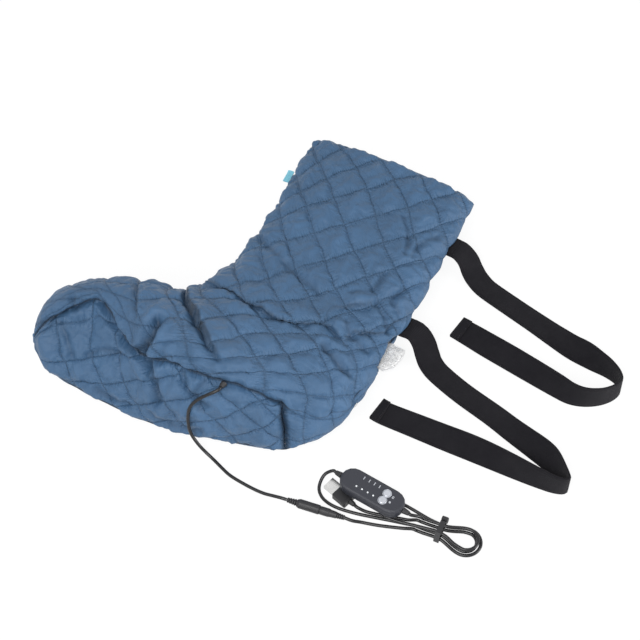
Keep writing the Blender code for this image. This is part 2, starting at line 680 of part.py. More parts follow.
def make_boot(wall):
    """Quilted shells, heating pad, thermal cut-out, fleece linings and the side tag."""
    upper_flank, sole, lower_flank = boot_regions()
    surface = (0.0, 0.0)
    shell_back = (0.0, PAD_THICKNESS)
    lining_front = (LAYER_GAP, PAD_THICKNESS)
    lining_back = (LAYER_GAP, PAD_THICKNESS + LINING_THICKNESS)
    for name, region in (("upper_flank", upper_flank), ("lower_flank", lower_flank)):
        wall.layer(name + "_shell", region, surface, shell_back, "shell", quilted=True)
        wall.layer(name + "_lining", region, lining_front, lining_back, "fleece")
    wall.layer("sole_shell", sole, surface, shell_back, "shell", quilted=True)
    heater_back = (LAYER_GAP + HEATER_THICKNESS, PAD_THICKNESS)
    pocket = LAYER_GAP + HEATER_THICKNESS
    heater = [(i, j) for i in range(*HEATER_ALONG) for j in range(*HEATER_ACROSS)
              if (i, j) != CUTOUT_CELL]
    wall.layer("heating_pad", heater, lining_front, heater_back, "heater")
    wall.patch("thermal_cutout", CUTOUT_CELL, CUTOUT_ALONG_SHARES, CUTOUT_ACROSS_SHARES,
               lining_front, heater_back, "housing")
    wall.layer("sole_lining", sole, (*lining_front, pocket), (*lining_back, pocket), "fleece")
    reach = (FIT, TAG_REACH)
    wall.seam_strip("side_tag", TAG_ROWS, 0, [reach] * len(TAG_ROWS), TAG_THICKNESS,
                    -0.5 * TAG_THICKNESS, "tag")
    wall.toe_filler("toe_seam_allowance", "shell")
    lower_column = 2 * (CELLS_TOP + CELLS_SOLE)
    reaches = [(-FLAP_TUCK, share * FLAP_REACH) for share in FLAP_SHARES]
    wall.seam_strip("fleece_flap", FLAP_ROWS, lower_column, reaches, LINING_THICKNESS, LAYER_GAP, "fleece")


def ribbon(name, stations, lift, material, root_share=1.0):
    """A flat band: each station has its floor edge, its height and its tilt. Its
    first edge can be thinner than the rest."""
    path = stations[:, :3]
    ahead = np.gradient(path, axis=0)
    ahead /= np.linalg.norm(ahead, axis=1, keepdims=True)
    up = np.array([0.0, 0.0, 1.0])
    loops = []
    shares = [root_share] + [1.0] * (len(path) - 1)
    for point, heading, tilt, share in zip(path, ahead, np.radians(stations[:, 3]), shares):
        level = np.cross(up, heading)
        level /= np.linalg.norm(level)
        across = math.cos(tilt) * level + math.sin(tilt) * np.cross(heading, level)
        face = np.cross(heading, across)
        edge_height = 0.5 * STRAP_THICKNESS * abs(math.cos(tilt)) + FLOOR_CLEARANCE
        low = point + up * edge_height + face * (lift - 0.5 * share * STRAP_THICKNESS)
        high = low + face * share * STRAP_THICKNESS
        loops.append([low, low + across * STRAP_WIDTH, high + across * STRAP_WIDTH, high])
    return loft(name, loops, material)


def strap_stations(route, along_share):
    """Even stations along a strap's route, a fifth of the strap's width apart."""
    path = smooth_path(route, 6)
    path[:, :2] += boot_point("leg", along_share, 0)
    path[:, 2] = np.maximum(path[:, 2], 0.0)
    return resample(path, 0.2 * STRAP_WIDTH)


def make_strap(prefix, route, along_share):
    """A strap with its sewn anchor in the boot's back edge and its folded hem."""
    stations = strap_stations(route, along_share)
    ribbon(prefix + "_strap", stations, 0.0, "webbing", STRAP_ROOT_SHARE)
    outward = stations[0, :3] - stations[1, :3]
    outward[2] = 0
    outward /= np.linalg.norm(outward)
    root = np.array([stations[0], stations[0]])
    root[0, :3] += outward * (ANCHOR_RUN + STRAP_SEAM_RUN)
    root[1, :3] += outward * STRAP_SEAM_RUN
    ribbon(prefix + "_strap_anchor", root, 0.0, "webbing")
    reach = np.concatenate([[0.0], np.cumsum(np.linalg.norm(np.diff(stations[:, :3], axis=0), axis=1))])
    hem = stations[reach >= reach[-1] - HEM_LENGTH]
    ribbon(prefix + "_strap_hem", hem, -STRAP_THICKNESS - FIT, "webbing")
    across = np.cross(np.array([0.0, 0.0, 1.0]), -outward)
    height = 0.5 * STRAP_THICKNESS + FLOOR_CLEARANCE
    hinge = stations[0, :3] + np.array([0.0, 0.0, height]) + across * 0.5 * STRAP_WIDTH
    carry(prefix + "_strap_hinge", Matrix.Translation(Vector(hinge)), [prefix + "_strap", prefix + "_strap_hem"])


def tube(name, points, material, resolution):
    """A cord as a bevelled open spline with filled caps."""
    curve = bpy.data.curves.new(name, "CURVE")
    curve.dimensions = "3D"
    curve.bevel_depth = 0.5 * CORD_DIAMETER
    curve.bevel_resolution = resolution
    curve.use_fill_caps = True
    spline = curve.splines.new("POLY")
    spline.points.add(len(points) - 1)
    for knot, point in zip(spline.points, points):
        knot.co = (*point, 1.0)
    return add_object(name, curve, material)


def free_cord(name, points):
    """A free stretch, with a point every two and a half diameters and straight ends."""
    path = resample(smooth_path(points[1:-1], 8), 2.5 * CORD_DIAMETER)
    tube(name, [points[0], *path, points[-1]], "cord", 2)


def join_points(end, inner):
    """Two points that carry a wound strand straight on from its end."""
    way = np.array(end) - np.array(inner)
    way /= np.linalg.norm(way)
    return [end + way * (FIT + 1.2 * CORD_DIAMETER), end + way * FIT]


def hank_place(run, side, height):
    """World place of a point in the hank's frame."""
    axis = np.array([math.cos(HANK_ANGLE), math.sin(HANK_ANGLE)])
    left = np.array([-math.sin(HANK_ANGLE), math.cos(HANK_ANGLE)])
    plan = np.array(HANK_TIE_PLACE) + axis * (run - TIE_RUN) + left * side
    return np.array([*plan, height])


def strand_pitch():
    """Distance between the middles of strands that lie side by side."""
    return CORD_DIAMETER + STRAND_GAP


def waist(run):
    """How much of the fold's spread a run has: none at the tie, all at its folds."""
    far = RIGHT_FOLD_RUN if run > TIE_RUN else LEFT_FOLD_RUN
    share = min(1.0, abs(run - TIE_RUN) / abs(far - TIE_RUN))
    return 0.5 - 0.5 * math.cos(math.pi * share)


def strand_height(layer, run):
    """Height of a strand: on the floor or on the layer below, raised at the tie."""
    raised = TIE_WALL + FIT
    near = max(0.0, 1 - abs(run - TIE_RUN) / (3 * TIE_WIDTH))
    ease = near * near * (3 - 2 * near)
    return 0.5 * CORD_DIAMETER + FLOOR_CLEARANCE + layer * strand_pitch() + raised * ease


def run_points(start, stop, side, offset, layers, left_spread, count):
    """Points along one run of the hank, from one place along it to another."""
    points = []
    inner_share = 0.5 * POWER_BACK_SHARE + 0.5 * POWER_OUT_SHARE
    right_spread = FOLD_RADIUS - inner_share * strand_pitch()
    for k in range(count):
        share = k / count
        run = start + (stop - start) * share
        spread = (right_spread if run > TIE_RUN else left_spread) * waist(run)
        layer = layers[0] + (layers[1] - layers[0]) * share
        points.append(hank_place(run, side * (offset + spread), strand_height(layer, run)))
    return points


def fold_points(run, way, offsets, layers, spread, first_side):
    """Points round one fold of the hank, from one side of it to the other."""
    points = []
    for k in range(HANK_FOLD_POINTS):
        share = k / HANK_FOLD_POINTS
        turn = math.pi * share
        radius = offsets[0] + (offsets[1] - offsets[0]) * share + spread
        layer = layers[0] + (layers[1] - layers[0]) * share
        side = first_side * math.cos(turn) * radius
        along = run + way * math.sin(turn) * radius
        points.append(hank_place(along, side, strand_height(layer, along)))
    return points


def hank_tube():
    """The connector cord's one and a half turns, one unbroken line of points."""
    pitch = strand_pitch()
    out, back = STRAND_OUT_SHARE * pitch, STRAND_BACK_SHARE * pitch
    upper = STRAND_UPPER_SHARE * pitch
    right_spread = FOLD_RADIUS - 0.5 * (POWER_BACK_SHARE + POWER_OUT_SHARE) * pitch
    left_spread = FOLD_RADIUS - 0.5 * (back + upper)
    count = (HANK_POINTS_PER_TURN - 2 * HANK_FOLD_POINTS) // 2 + 4
    points = run_points(HANK_START_RUN, RIGHT_FOLD_RUN, -1, out, (0, 0), 0.0, count)
    points += fold_points(RIGHT_FOLD_RUN, 1, (out, back), (0, 0), right_spread, -1)
    points += run_points(RIGHT_FOLD_RUN, TIE_RUN, 1, back, (0, 0), left_spread, count // 2)
    points += run_points(TIE_RUN, LEFT_FOLD_RUN, 1, back, (0, 1), left_spread, count)
    points += fold_points(LEFT_FOLD_RUN, -1, (back, upper), (1, 1), left_spread, 1)
    points += run_points(LEFT_FOLD_RUN, RIGHT_FOLD_RUN, -1, upper, (1, 1), left_spread, count)
    points += fold_points(RIGHT_FOLD_RUN, 1, (upper, upper), (1, 1), right_spread, -1)
    points += run_points(RIGHT_FOLD_RUN, HANK_END_RUN, 1, upper, (1, 1), 0.0, count)
    points.append(hank_place(HANK_END_RUN, upper, strand_height(1, HANK_END_RUN)))
    return np.array(points)


def power_turn_tube():
    """The power cord's one turn through the tie, inside the connector cord's."""
    pitch = strand_pitch()
    out, back = POWER_OUT_SHARE * pitch, POWER_BACK_SHARE * pitch
    right_spread = FOLD_RADIUS - 0.5 * (out + back)
    count = (HANK_POINTS_PER_TURN - 2 * HANK_FOLD_POINTS) // 2 + 4
    points = run_points(HANK_START_RUN, RIGHT_FOLD_RUN, -1, out, (0, 0), 0.0, count)
    points += fold_points(RIGHT_FOLD_RUN, 1, (out, back), (0, 0), right_spread, -1)
    points += run_points(RIGHT_FOLD_RUN, HANK_START_RUN, 1, back, (0, 0), 0.0, count)
    points.append(hank_place(HANK_START_RUN, back, strand_height(0, HANK_START_RUN)))
    return np.array(points)


def least_gap(points, others=None):
    """Least clear distance of a tube to itself, or to another tube."""
    fine = resample(smooth_path(points, 4), 0.4 * CORD_DIAMETER)
    other = fine if others is None else resample(smooth_path(others, 4), 0.4 * CORD_DIAMETER)
    gaps = np.linalg.norm(fine[:, None, :] - other[None, :, :], axis=2)
    if others is None:
        apart = np.abs(np.subtract.outer(np.arange(len(fine)), np.arange(len(fine))))
        gaps[apart < 8] = np.inf
    return gaps.min() - CORD_DIAMETER


def lead_points(wall):
    """World points of the lead, from the sole seam down to the connector."""
    seam = wall.grid[LEAD_ROW, 2 * CELLS_TOP]
    end = np.array([*CONNECTOR_START, 0.0])
    rest = 0.5 * CORD_DIAMETER + FLOOR_CLEARANCE
    points = []
    for k, (x, y, height_share) in enumerate(LEAD_ROUTE):
        line = end + (seam - end) * (1 - k / (len(LEAD_ROUTE) - 1))
        points.append(np.array([line[0] + x, line[1] + y, max(rest, height_share * seam[2])]))
    return points


def make_cords(lead):
    """The lead, the free stretches, the two wound stretches and their tie."""
    socket_back = connector_place() @ Vector((-FIT, 0, 0))
    lead_end = connector_place() @ Vector((-2 * CORD_DIAMETER, 0, 0))
    free_cord("lead_cord", lead[:-1] + [np.array(lead_end), np.array(socket_back)])
    hank = hank_tube()
    power_turn = power_turn_tube()
    tube("cord_hank", hank, "cord", 1)
    tube("power_cord_turn", power_turn, "cord", 1)
    plug_back = connector_place() @ Vector((plug_tail_end() + FIT, 0, 0))
    plug_on = connector_place() @ Vector((plug_tail_end() + 2.5 * CORD_DIAMETER, 0, -0.1 * SOCKET_DIAMETER))
    route = [np.array(plug_back), np.array(plug_on)] + [hank_place(*p) for p in PLUG_CORD_ROUTE]
    free_cord("connector_cord", route + join_points(hank[0], hank[1]))
    right = np.array(control_place() @ Vector((relief_reach() + FIT, 0, 0)))
    right_on = np.array(control_place() @ Vector((relief_reach() + 0.8 * CORD_DIAMETER, 0, -0.1 * CORD_DIAMETER)))
    route = [hank_place(*p) for p in RETURN_CORD_ROUTE]
    free_cord("controller_cord", join_points(hank[-1], hank[-2])[::-1] + route + [right_on, right])
    left = np.array(control_place() @ Vector((-relief_reach() - FIT, 0, 0)))
    left_on = np.array(control_place() @ Vector((-relief_reach() - CORD_DIAMETER, 0, 0)))
    route = [hank_place(*p) for p in POWER_CORD_ROUTE]
    free_cord("power_cord_loop", [left, left_on] + route + join_points(power_turn[0], power_turn[1]))
    route = [hank_place(*p) for p in USB_CORD_ROUTE]
    rear = np.array(usb_place() @ Vector((usb_length() + FIT, 0, 0)))
    rear_on = np.array(usb_place() @ Vector((usb_length() + 1.2 * CORD_DIAMETER, 0, 0)))
    free_cord("power_cord_tail", join_points(power_turn[-1], power_turn[-2])[::-1] + route + [rear_on, rear])
    print("hank's least gap to itself, mm: %.2f" % (1000 * least_gap(hank)))
    print("power turn's least gap to itself, mm: %.2f" % (1000 * least_gap(power_turn)))
    print("least gap between the two, mm: %.2f" % (1000 * least_gap(hank, power_turn)))


def tie_frame():
    """The tie's frame: x along the bundle, y across it."""
    return turn_place(HANK_TIE_PLACE, 0.0, HANK_ANGLE)


def make_tie():
    """The strap of the tie, a closed band round the bundle, and its head."""
    pitch = strand_pitch()
    radius = 0.5 * CORD_DIAMETER + 2 * FIT
    low, shoulder = TIE_WALL, TIE_WALL + 2 * radius
    top = strand_height(1, TIE_RUN) + radius
    inner = [
        (-STRAND_OUT_SHARE * pitch - radius, low), (STRAND_BACK_SHARE * pitch + radius, low),
        (STRAND_BACK_SHARE * pitch + radius, shoulder), (STRAND_UPPER_SHARE * pitch + radius, top),
        (-STRAND_UPPER_SHARE * pitch - radius, top), (-STRAND_OUT_SHARE * pitch - radius, shoulder),
    ]
    outer = grow_outline(inner, TIE_WALL)
    half = 0.5 * TIE_WIDTH
    vertices = [tie_frame() @ Vector((x, y, z)) for x in (-half, half)
                for ring in (outer, inner) for y, z in ring]
    count = len(inner)
    faces = []
    for i in range(count):
        j = (i + 1) % count
        faces.append([i, j, 2 * count + j, 2 * count + i])
        faces.append([count + j, count + i, 3 * count + i, 3 * count + j])
        faces.append([j, i, count + i, count + j])
        faces.append([2 * count + i, 2 * count + j, 3 * count + j, 3 * count + i])
    mesh_object("tie_band", vertices, faces, "cord")
    side = max(y for y, z in outer) + FIT
    head_place = tie_frame() @ Matrix.Translation((0, side + 0.5 * TIE_HEAD[1], 0.5 * TIE_HEAD[2] + TIE_WALL))
    block("tie_head", TIE_HEAD, head_place, 0.15 * TIE_HEAD[1], "cord")


def grow_outline(points, wall):
    """An outline moved outwards by a wall, corner by corner."""
    grown = []
    count = len(points)
    for i in range(count):
        before, here, after = (Vector(points[k % count]) for k in (i - 1, i, i + 1))
        first = (here - before).normalized()
        second = (after - here).normalized()
        normal_a, normal_b = Vector((first.y, -first.x)), Vector((second.y, -second.x))
        mitre = (normal_a + normal_b).normalized()
        grown.append(tuple(here + mitre * wall / mitre.dot(normal_a)))
    return grown


def block(name, size, place, bevel, material):
    """A box of a size at a place, its edges bevelled."""
    work = bmesh.new()
    bmesh.ops.create_cube(work, size=1.0, matrix=Matrix.Diagonal((*size, 1.0)))
    if bevel:
        bmesh.ops.bevel(work, geom=work.edges[:], offset=bevel, segments=1, affect="EDGES")
    bmesh.ops.transform(work, matrix=place, verts=work.verts)
    mesh = bpy.data.meshes.new(name)
    work.to_mesh(mesh)
    work.free()
    return add_object(name, mesh, material)


def turned(name, profile, place, sides, material):
    """A round solid along x: each step of the profile is a place and a radius."""
    loops = []
    for run, radius in profile:
        loops.append([(run, radius * math.cos(turn), radius * math.sin(turn))
                      for turn in np.linspace(0, 2 * math.pi, sides, endpoint=False)])
    return loft(name, loops, material, place, smooth=True)


def connector_place():
    """Frame of the connector pair: x runs from the lead to the hank."""
    return turn_place(CONNECTOR_START, 0.5 * SOCKET_DIAMETER + FLOOR_CLEARANCE, CONNECTOR_ANGLE)


def ribbed_profile(start, length, small, large, ribs):
    """A tapered strain relief with ribs, from its thin end to its thick end."""
    profile = [(start, 0.5 * small)]
    step = length / (2 * ribs)
    for k in range(ribs):
        radius = 0.5 * (small + (large - small) * (k + 1) / ribs)
        run = start + 2 * k * step
        profile += [(run + 0.25 * step, radius), (run + 1.25 * step, radius)]
        if k < ribs - 1:
            profile += [(run + 1.4 * step, 0.88 * radius), (run + 1.9 * step, 0.88 * radius)]
    profile.append((start + length, 0.5 * large))
    return profile


def mirrored_profile(profile, start, length):
    """The same profile with its ends exchanged."""
    return [(start + length - (run - start), radius) for run, radius in reversed(profile)]


def plug_start():
    """Where the plug's body begins along the connectors."""
    return TAIL_LENGTH + SOCKET_LENGTH + 2 * FIT


def plug_tail_end():
    """Where the plug's strain relief ends along the connectors."""
    return plug_start() + PLUG_LENGTH + PLUG_TAIL_LENGTH + FIT


def make_connectors():
    """Socket on the lead and plug on the cord, mated, with their strain reliefs."""
    place = connector_place()
    tail = ribbed_profile(0.0, TAIL_LENGTH, 1.35 * CORD_DIAMETER, TAIL_DIAMETER, 4)
    turned("socket_strain_relief", tail, place, 16, "cord")
    start = TAIL_LENGTH + FIT
    end = start + SOCKET_LENGTH
    outer, bore = 0.5 * SOCKET_DIAMETER, 0.5 * SOCKET_BORE + FIT
    depth = BARREL_LENGTH + FIT
    profile = [(start, 0.80 * outer), (start + 0.10 * SOCKET_LENGTH, outer),
               (end - 0.04 * SOCKET_LENGTH, outer), (end, 0.94 * outer), (end, bore), (end - depth, bore)]
    turned("socket_body", profile, place, 20, "cord")
    pin_length = depth - 5 * FIT
    pin = [(end - depth + FIT, 0.5 * SOCKET_PIN_DIAMETER), (end - depth + pin_length, 0.4 * SOCKET_PIN_DIAMETER)]
    turned("socket_pin", pin, place, 10, "metal")
    start = plug_start()
    radius = 0.5 * PLUG_DIAMETER
    profile = [(start, 0.92 * radius), (start + 0.06 * PLUG_LENGTH, radius), (start + 0.55 * PLUG_LENGTH, radius),
               (start + 0.60 * PLUG_LENGTH, 0.90 * radius), (start + PLUG_LENGTH, 0.78 * radius)]
    turned("plug_body", profile, place, 20, "cord")
    barrel = 0.5 * SOCKET_BORE - FIT
    hollow = 0.5 * PLUG_BARREL_BORE + FIT
    tip = start - FIT - BARREL_LENGTH + 2 * FIT
    profile = [(start - FIT, barrel), (tip, barrel), (tip, hollow), (start - 4 * FIT, hollow)]
    turned("plug_barrel", profile, place, 16, "metal")
    tail_start = start + PLUG_LENGTH + FIT
    tail = ribbed_profile(tail_start, PLUG_TAIL_LENGTH, 1.35 * CORD_DIAMETER, TAIL_DIAMETER, 3)
    turned("plug_strain_relief", mirrored_profile(tail, tail_start, PLUG_TAIL_LENGTH), place, 16, "cord")


def make_gland(lead):
    """The moulded grommet in the sole seam that the lead comes out of."""
    first, second = Vector(lead[0]), Vector(lead[1])
    away = (second - first).normalized()
    turn = away.to_track_quat("X", "Z").to_matrix().to_4x4()
    place = Matrix.Translation(first - away * (GLAND_LENGTH + FIT)) @ turn
    profile = [(0.0, 0.5 * GLAND_DIAMETER), (0.2 * GLAND_LENGTH, 0.5 * GLAND_DIAMETER),
               (GLAND_LENGTH, 0.7 * CORD_DIAMETER)]
    turned("lead_gland", profile, place, 12, "cord")


def control_place():
    """Frame of the controller at mid height: x along it towards the connector cord."""
    return turn_place(CONTROL_PLACE, CONTROL_BASE + 0.5 * CONTROL_HEIGHT, CONTROL_ANGLE)


def relief_reach():
    """Distance from the controller's middle to the end of its strain reliefs."""
    return 0.5 * CONTROL_LENGTH + FIT + RELIEF_LENGTH


def stadium(inset, height, steps=8):
    """The controller's outline, drawn in by an inset, at a height."""
    radius = 0.5 * CONTROL_WIDTH - inset
    centre = 0.5 * (CONTROL_LENGTH - CONTROL_WIDTH)
    points = []
    for side in (1, -1):
        for k in range(steps + 1):
            turn = -0.5 * math.pi + math.pi * k / steps
            points.append((side * (centre + radius * math.cos(turn)), side * radius * math.sin(turn), height))
    return points


def make_controller():
    """Two half shells, board, switches, lamps and buttons."""
    place = control_place()
    half = 0.5 * CONTROL_HEIGHT
    split = CONTROL_SPLIT - half
    base_loops = [stadium(CONTROL_EDGE, -half), stadium(0.3 * CONTROL_EDGE, -half + 0.3 * CONTROL_EDGE),
                  stadium(0.0, -half + CONTROL_EDGE), stadium(0.0, split),
                  stadium(CONTROL_WALL, split), stadium(CONTROL_WALL, -half + CONTROL_WALL)]
    loft("controller_base", base_loops, "housing", place)
    seam = split + FIT
    cover_loops = [stadium(CONTROL_WALL, half - CONTROL_WALL), stadium(CONTROL_WALL, seam), stadium(0.0, seam),
                   stadium(0.0, half - CONTROL_EDGE), stadium(0.3 * CONTROL_EDGE, half - 0.3 * CONTROL_EDGE),
                   stadium(CONTROL_EDGE, half)]
    cover = loft("controller_cover", cover_loops, "housing", place)
    floor = -half + CONTROL_WALL + FIT
    board_top = floor + BOARD_THICKNESS + SWITCH_HEIGHT
    clear = CONTROL_WALL + FIT
    board_low = board_top - BOARD_THICKNESS
    loft("controller_board", [stadium(clear, board_low), stadium(clear, board_top)], "board", place)
    for k, side in enumerate((0.5, -0.5)):
        make_button(cover, place, ("mode_button", "power_button")[k],
                    ("mode_switch", "power_switch")[k], side * BUTTON_SPACING, board_top)
    for k in range(4):
        make_lamp(cover, place, k, board_top)
    for name, side in (("controller_relief_right", 1), ("controller_relief_left", -1)):
        start = 0.5 * CONTROL_LENGTH + FIT
        profile = [(start, 0.5 * RELIEF_DIAMETER), (start + 0.4 * RELIEF_LENGTH, 0.45 * RELIEF_DIAMETER),
                   (start + RELIEF_LENGTH, 0.65 * CORD_DIAMETER)]
        flip = Matrix.Rotation(0 if side > 0 else math.pi, 4, "Z")
        turned(name, profile, place @ flip, 12, "cord")


def upright(place, run, side):
    """A frame whose x axis points up, at a place on the controller."""
    return place @ Matrix.Translation((run, side, 0)) @ Matrix.Rotation(-0.5 * math.pi, 4, "Y")


def round_cutter(name, place, radius):
    """An upright cutter through the controller's cover."""
    reach = CONTROL_HEIGHT
    cutter = turned(name, [(0.0, radius), (reach, radius)], place, 20, "housing")
    return cutter


def make_button(cover, place, name, switch_name, side, board_top):
    """A round push button over its tact switch, in a hole of the cover."""
    half = 0.5 * CONTROL_HEIGHT
    here = upright(place, BUTTON_RUN, side)
    cut(cover, round_cutter("hole_of_" + name, here, 0.5 * BUTTON_DIAMETER + FIT))
    switch_low = board_top + FIT
    centre = place @ Matrix.Translation((BUTTON_RUN, side, switch_low + 0.5 * SWITCH_HEIGHT))
    block(switch_name, (SWITCH_SIDE, SWITCH_SIDE, SWITCH_HEIGHT), centre, 0.0, "housing")
    foot = switch_low + SWITCH_HEIGHT + FIT + BUTTON_TRAVEL
    crown = half + BUTTON_PROUD
    radius = 0.5 * BUTTON_DIAMETER
    profile = [(foot, 0.45 * radius), (half - CONTROL_WALL, 0.45 * radius), (half - CONTROL_WALL, radius),
               (crown - 0.3 * BUTTON_PROUD, radius), (crown, 0.85 * radius)]
    turned(name, profile, here, 20, "button")


def make_lamp(cover, place, k, board_top):
    """A small indicator lamp that stands on the board and ends flush with the cover."""
    here = upright(place, LED_START + k * LED_SPACING, LED_SIDE)
    cut(cover, round_cutter("hole_of_lamp_%d" % (k + 1), here, 0.5 * LED_DIAMETER + FIT))
    profile = [(board_top + FIT, 0.5 * LED_DIAMETER), (0.5 * CONTROL_HEIGHT, 0.5 * LED_DIAMETER)]
    turned("lamp_%d" % (k + 1), profile, here, 10, "lamp")


def usb_place():
    """Frame of the power plug: x from its tip to its cord."""
    tip = hank_place(*USB_TIP, 0.5 * USB_BODY[2] + FLOOR_CLEARANCE)
    return Matrix.Translation(Vector(tip)) @ Matrix.Rotation(HANK_ANGLE + USB_ANGLE, 4, "Z")


def usb_length():
    """Whole length of the power plug with its relief."""
    return USB_SHELL[0] + USB_BODY[0] + USB_RELIEF_LENGTH + 2 * FIT


def make_usb():
    """Metal shell with its contact tongue, overmould and relief."""
    place = usb_place()
    length, width, height = USB_SHELL

    def frame_loop(run, inset):
        y, z = 0.5 * width - inset, 0.5 * height - inset
        return [(run, -y, -z), (run, y, -z), (run, y, z), (run, -y, z)]

    rear = length - 2 * USB_WALL
    loft("usb_shell", [frame_loop(length, 0.0), frame_loop(0.0, 0.0), frame_loop(0.0, USB_WALL),
                       frame_loop(rear, USB_WALL)], "metal", place)
    tongue_x = rear - FIT - 0.5 * USB_TONGUE[0]
    tongue_z = 0.5 * height - USB_WALL - FIT - 0.5 * USB_TONGUE[2]
    block("usb_tongue", USB_TONGUE, place @ Matrix.Translation((tongue_x, 0, tongue_z)), 0.0, "tongue")
    body_x = length + FIT + 0.5 * USB_BODY[0]
    block("usb_overmould", USB_BODY, place @ Matrix.Translation((body_x, 0, 0)), USB_EDGE, "cord")
    start = length + USB_BODY[0] + 2 * FIT
    profile = [(start, 0.5 * TAIL_DIAMETER), (start + 0.5 * USB_RELIEF_LENGTH, 0.45 * TAIL_DIAMETER),
               (start + USB_RELIEF_LENGTH, 0.65 * CORD_DIAMETER)]
    turned("usb_strain_relief", profile, place, 12, "cord")


def carry_cord_set():
    """The plug with all that hangs on its cord slides; each button slides in it."""
    still = ("lead", "socket", "upper", "lower", "sole", "fleece", "heating", "thermal", "side", "toe")
    pieces = [thing.name for thing in bpy.data.objects if not thing.name.startswith(still)]
    buttons = ("mode_button", "power_button")
    pivot = carry("plug_slide", connector_place(), [name for name in pieces if name not in buttons])
    for name, side in zip(buttons, (0.5, -0.5)):
        place = upright(control_place(), BUTTON_RUN, side * BUTTON_SPACING)
        carry(name + "_slide", place, [name], pivot)


def main():
    """Build every piece of the boot."""
    clear_scene()
    wall = BootWall()
    lead = lead_points(wall)
    make_boot(wall)
    make_strap("upper", UPPER_STRAP_ROUTE, UPPER_STRAP_ALONG_SHARE)
    make_strap("lower", LOWER_STRAP_ROUTE, LOWER_STRAP_ALONG_SHARE)
    make_gland(lead)
    make_connectors()
    make_cords(lead)
    make_tie()
    make_controller()
    make_usb()
    carry_cord_set()


main()
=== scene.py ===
"""Dresses the heated quilted boot: quilted shells, fleece, webbing straps, cords with
their connectors, hand controller and power plug, on a plain pale floor."""
import math

import bmesh
import bpy
import numpy as np
from bpy.props import FloatProperty, FloatVectorProperty, IntProperty, PointerProperty
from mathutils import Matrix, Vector, noise


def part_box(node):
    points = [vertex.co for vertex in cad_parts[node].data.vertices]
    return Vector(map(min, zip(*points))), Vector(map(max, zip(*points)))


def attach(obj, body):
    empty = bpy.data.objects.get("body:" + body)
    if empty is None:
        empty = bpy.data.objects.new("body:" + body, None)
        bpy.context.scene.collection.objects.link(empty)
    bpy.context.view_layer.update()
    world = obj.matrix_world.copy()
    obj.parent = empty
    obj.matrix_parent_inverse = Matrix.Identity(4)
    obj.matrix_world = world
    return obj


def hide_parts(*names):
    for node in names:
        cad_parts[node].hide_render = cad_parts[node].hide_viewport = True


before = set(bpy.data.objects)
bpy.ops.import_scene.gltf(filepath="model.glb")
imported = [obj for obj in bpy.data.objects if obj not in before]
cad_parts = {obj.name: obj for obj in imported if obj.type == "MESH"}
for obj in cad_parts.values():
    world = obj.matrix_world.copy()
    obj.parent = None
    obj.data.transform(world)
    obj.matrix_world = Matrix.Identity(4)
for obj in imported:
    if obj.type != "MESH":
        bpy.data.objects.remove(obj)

bl_info = {
    "name": "Heated Quilted Boot",
    "version": (1, 0, 0),
    "blender": (4, 5, 0),
    "location": "View3D > Sidebar > Boot",
    "description": "Makes the pieces and finishes of a heated quilted boot",
    "category": "Object",
}

TENTHS_PER_METRE = 10000


def metres(rows):
    """Points in metres from whole tenths of a millimetre; what follows them stays."""
    return [(*(value / TENTHS_PER_METRE for value in row[:3]), *row[3:]) for row in rows]


# Boot: foot and leg as they lie on the floor
FOOT_LENGTH = 0.272
FOOT_DEPTH = 0.135
FOOT_THICKNESS = 0.093
FOOT_ANGLE = math.radians(159)
LEG_LENGTH = 0.347
LEG_WIDTH = 0.190
LEG_THICKNESS = 0.050
LEG_ANGLE = math.radians(61)
HEEL_PLACE = (-0.030, -0.160)
HEEL_OVERHANG = 0.030
PAD_THICKNESS = 0.0065
LAYER_GAP = 0.0006
LINING_THICKNESS = 0.0035
HEATER_THICKNESS = 0.0016
SEAM_GAP = 0.0003
SOLE_BULGE = 0.007
ROUNDED_WIDTHS = (0.060, 0.150)
STAND_BAND = 0.010
FOLD_HEIGHT = 0.014
QUILT_SPAN = 0.016
FLOOR_CLEARANCE = 0.0001

# Wall: its least height, the length of a half cell at the heel, how near a seam the creases
# fade, and the depths at which the painted shade of a crease or an undercut is full
LOWEST = 0.0002
HEEL_CELL = 0.0082
CREASE_FADE = 0.004
DARK_CREASE = 0.007
DARK_UNDERCUT = 0.0045

# Open back edge: how far the upper flank's edge reaches over the lower one's
OPEN_EDGE_REACH = 0.0010
OPEN_EDGE_WAVE = 0.0036
OPEN_EDGE_NOTCH = 0.0075
OPEN_EDGE_DROP = 0.0007
UNDER_EDGE_RETREAT = 0.0030

# Lining, stitches and the simulated cloth
LINING_UNDERCUT = 0.003
LINING_INSET = 0.0028
LINING_HEEL_SINK = 0.0046
LINING_SEAM_RISE = 0.0016
STITCH_END_GAP = 0.0035
HELD_BAND = 0.0022
CLOTH_INWARD = 0.002

# Cells of half a quilt diamond along the boot and round it
CELLS_FOOT = 10
CELLS_HEEL = 4
CELLS_LEG = 10
CELLS_TOP = 8
CELLS_SOLE = 4
CELLS_UNDER = 6
ROWS = 2 * (CELLS_FOOT + CELLS_HEEL + CELLS_LEG)
COLUMNS = 2 * (CELLS_TOP + CELLS_SOLE + CELLS_UNDER)
UPPER_SEAM = 2 * CELLS_TOP
LOWER_SEAM = 2 * (CELLS_TOP + CELLS_SOLE)
SOLE_END = 2 * CELLS_FOOT
SLIT_START = 2 * (CELLS_FOOT + CELLS_HEEL)
HEATER_ALONG = (5, 9)
HEATER_ACROSS = (CELLS_TOP + 1, CELLS_TOP + CELLS_SOLE - 1)
HEEL_STATION = 8
SLIT_STATION = 11
PINCH_SHARES = (0.45, 0.65, 0.82)

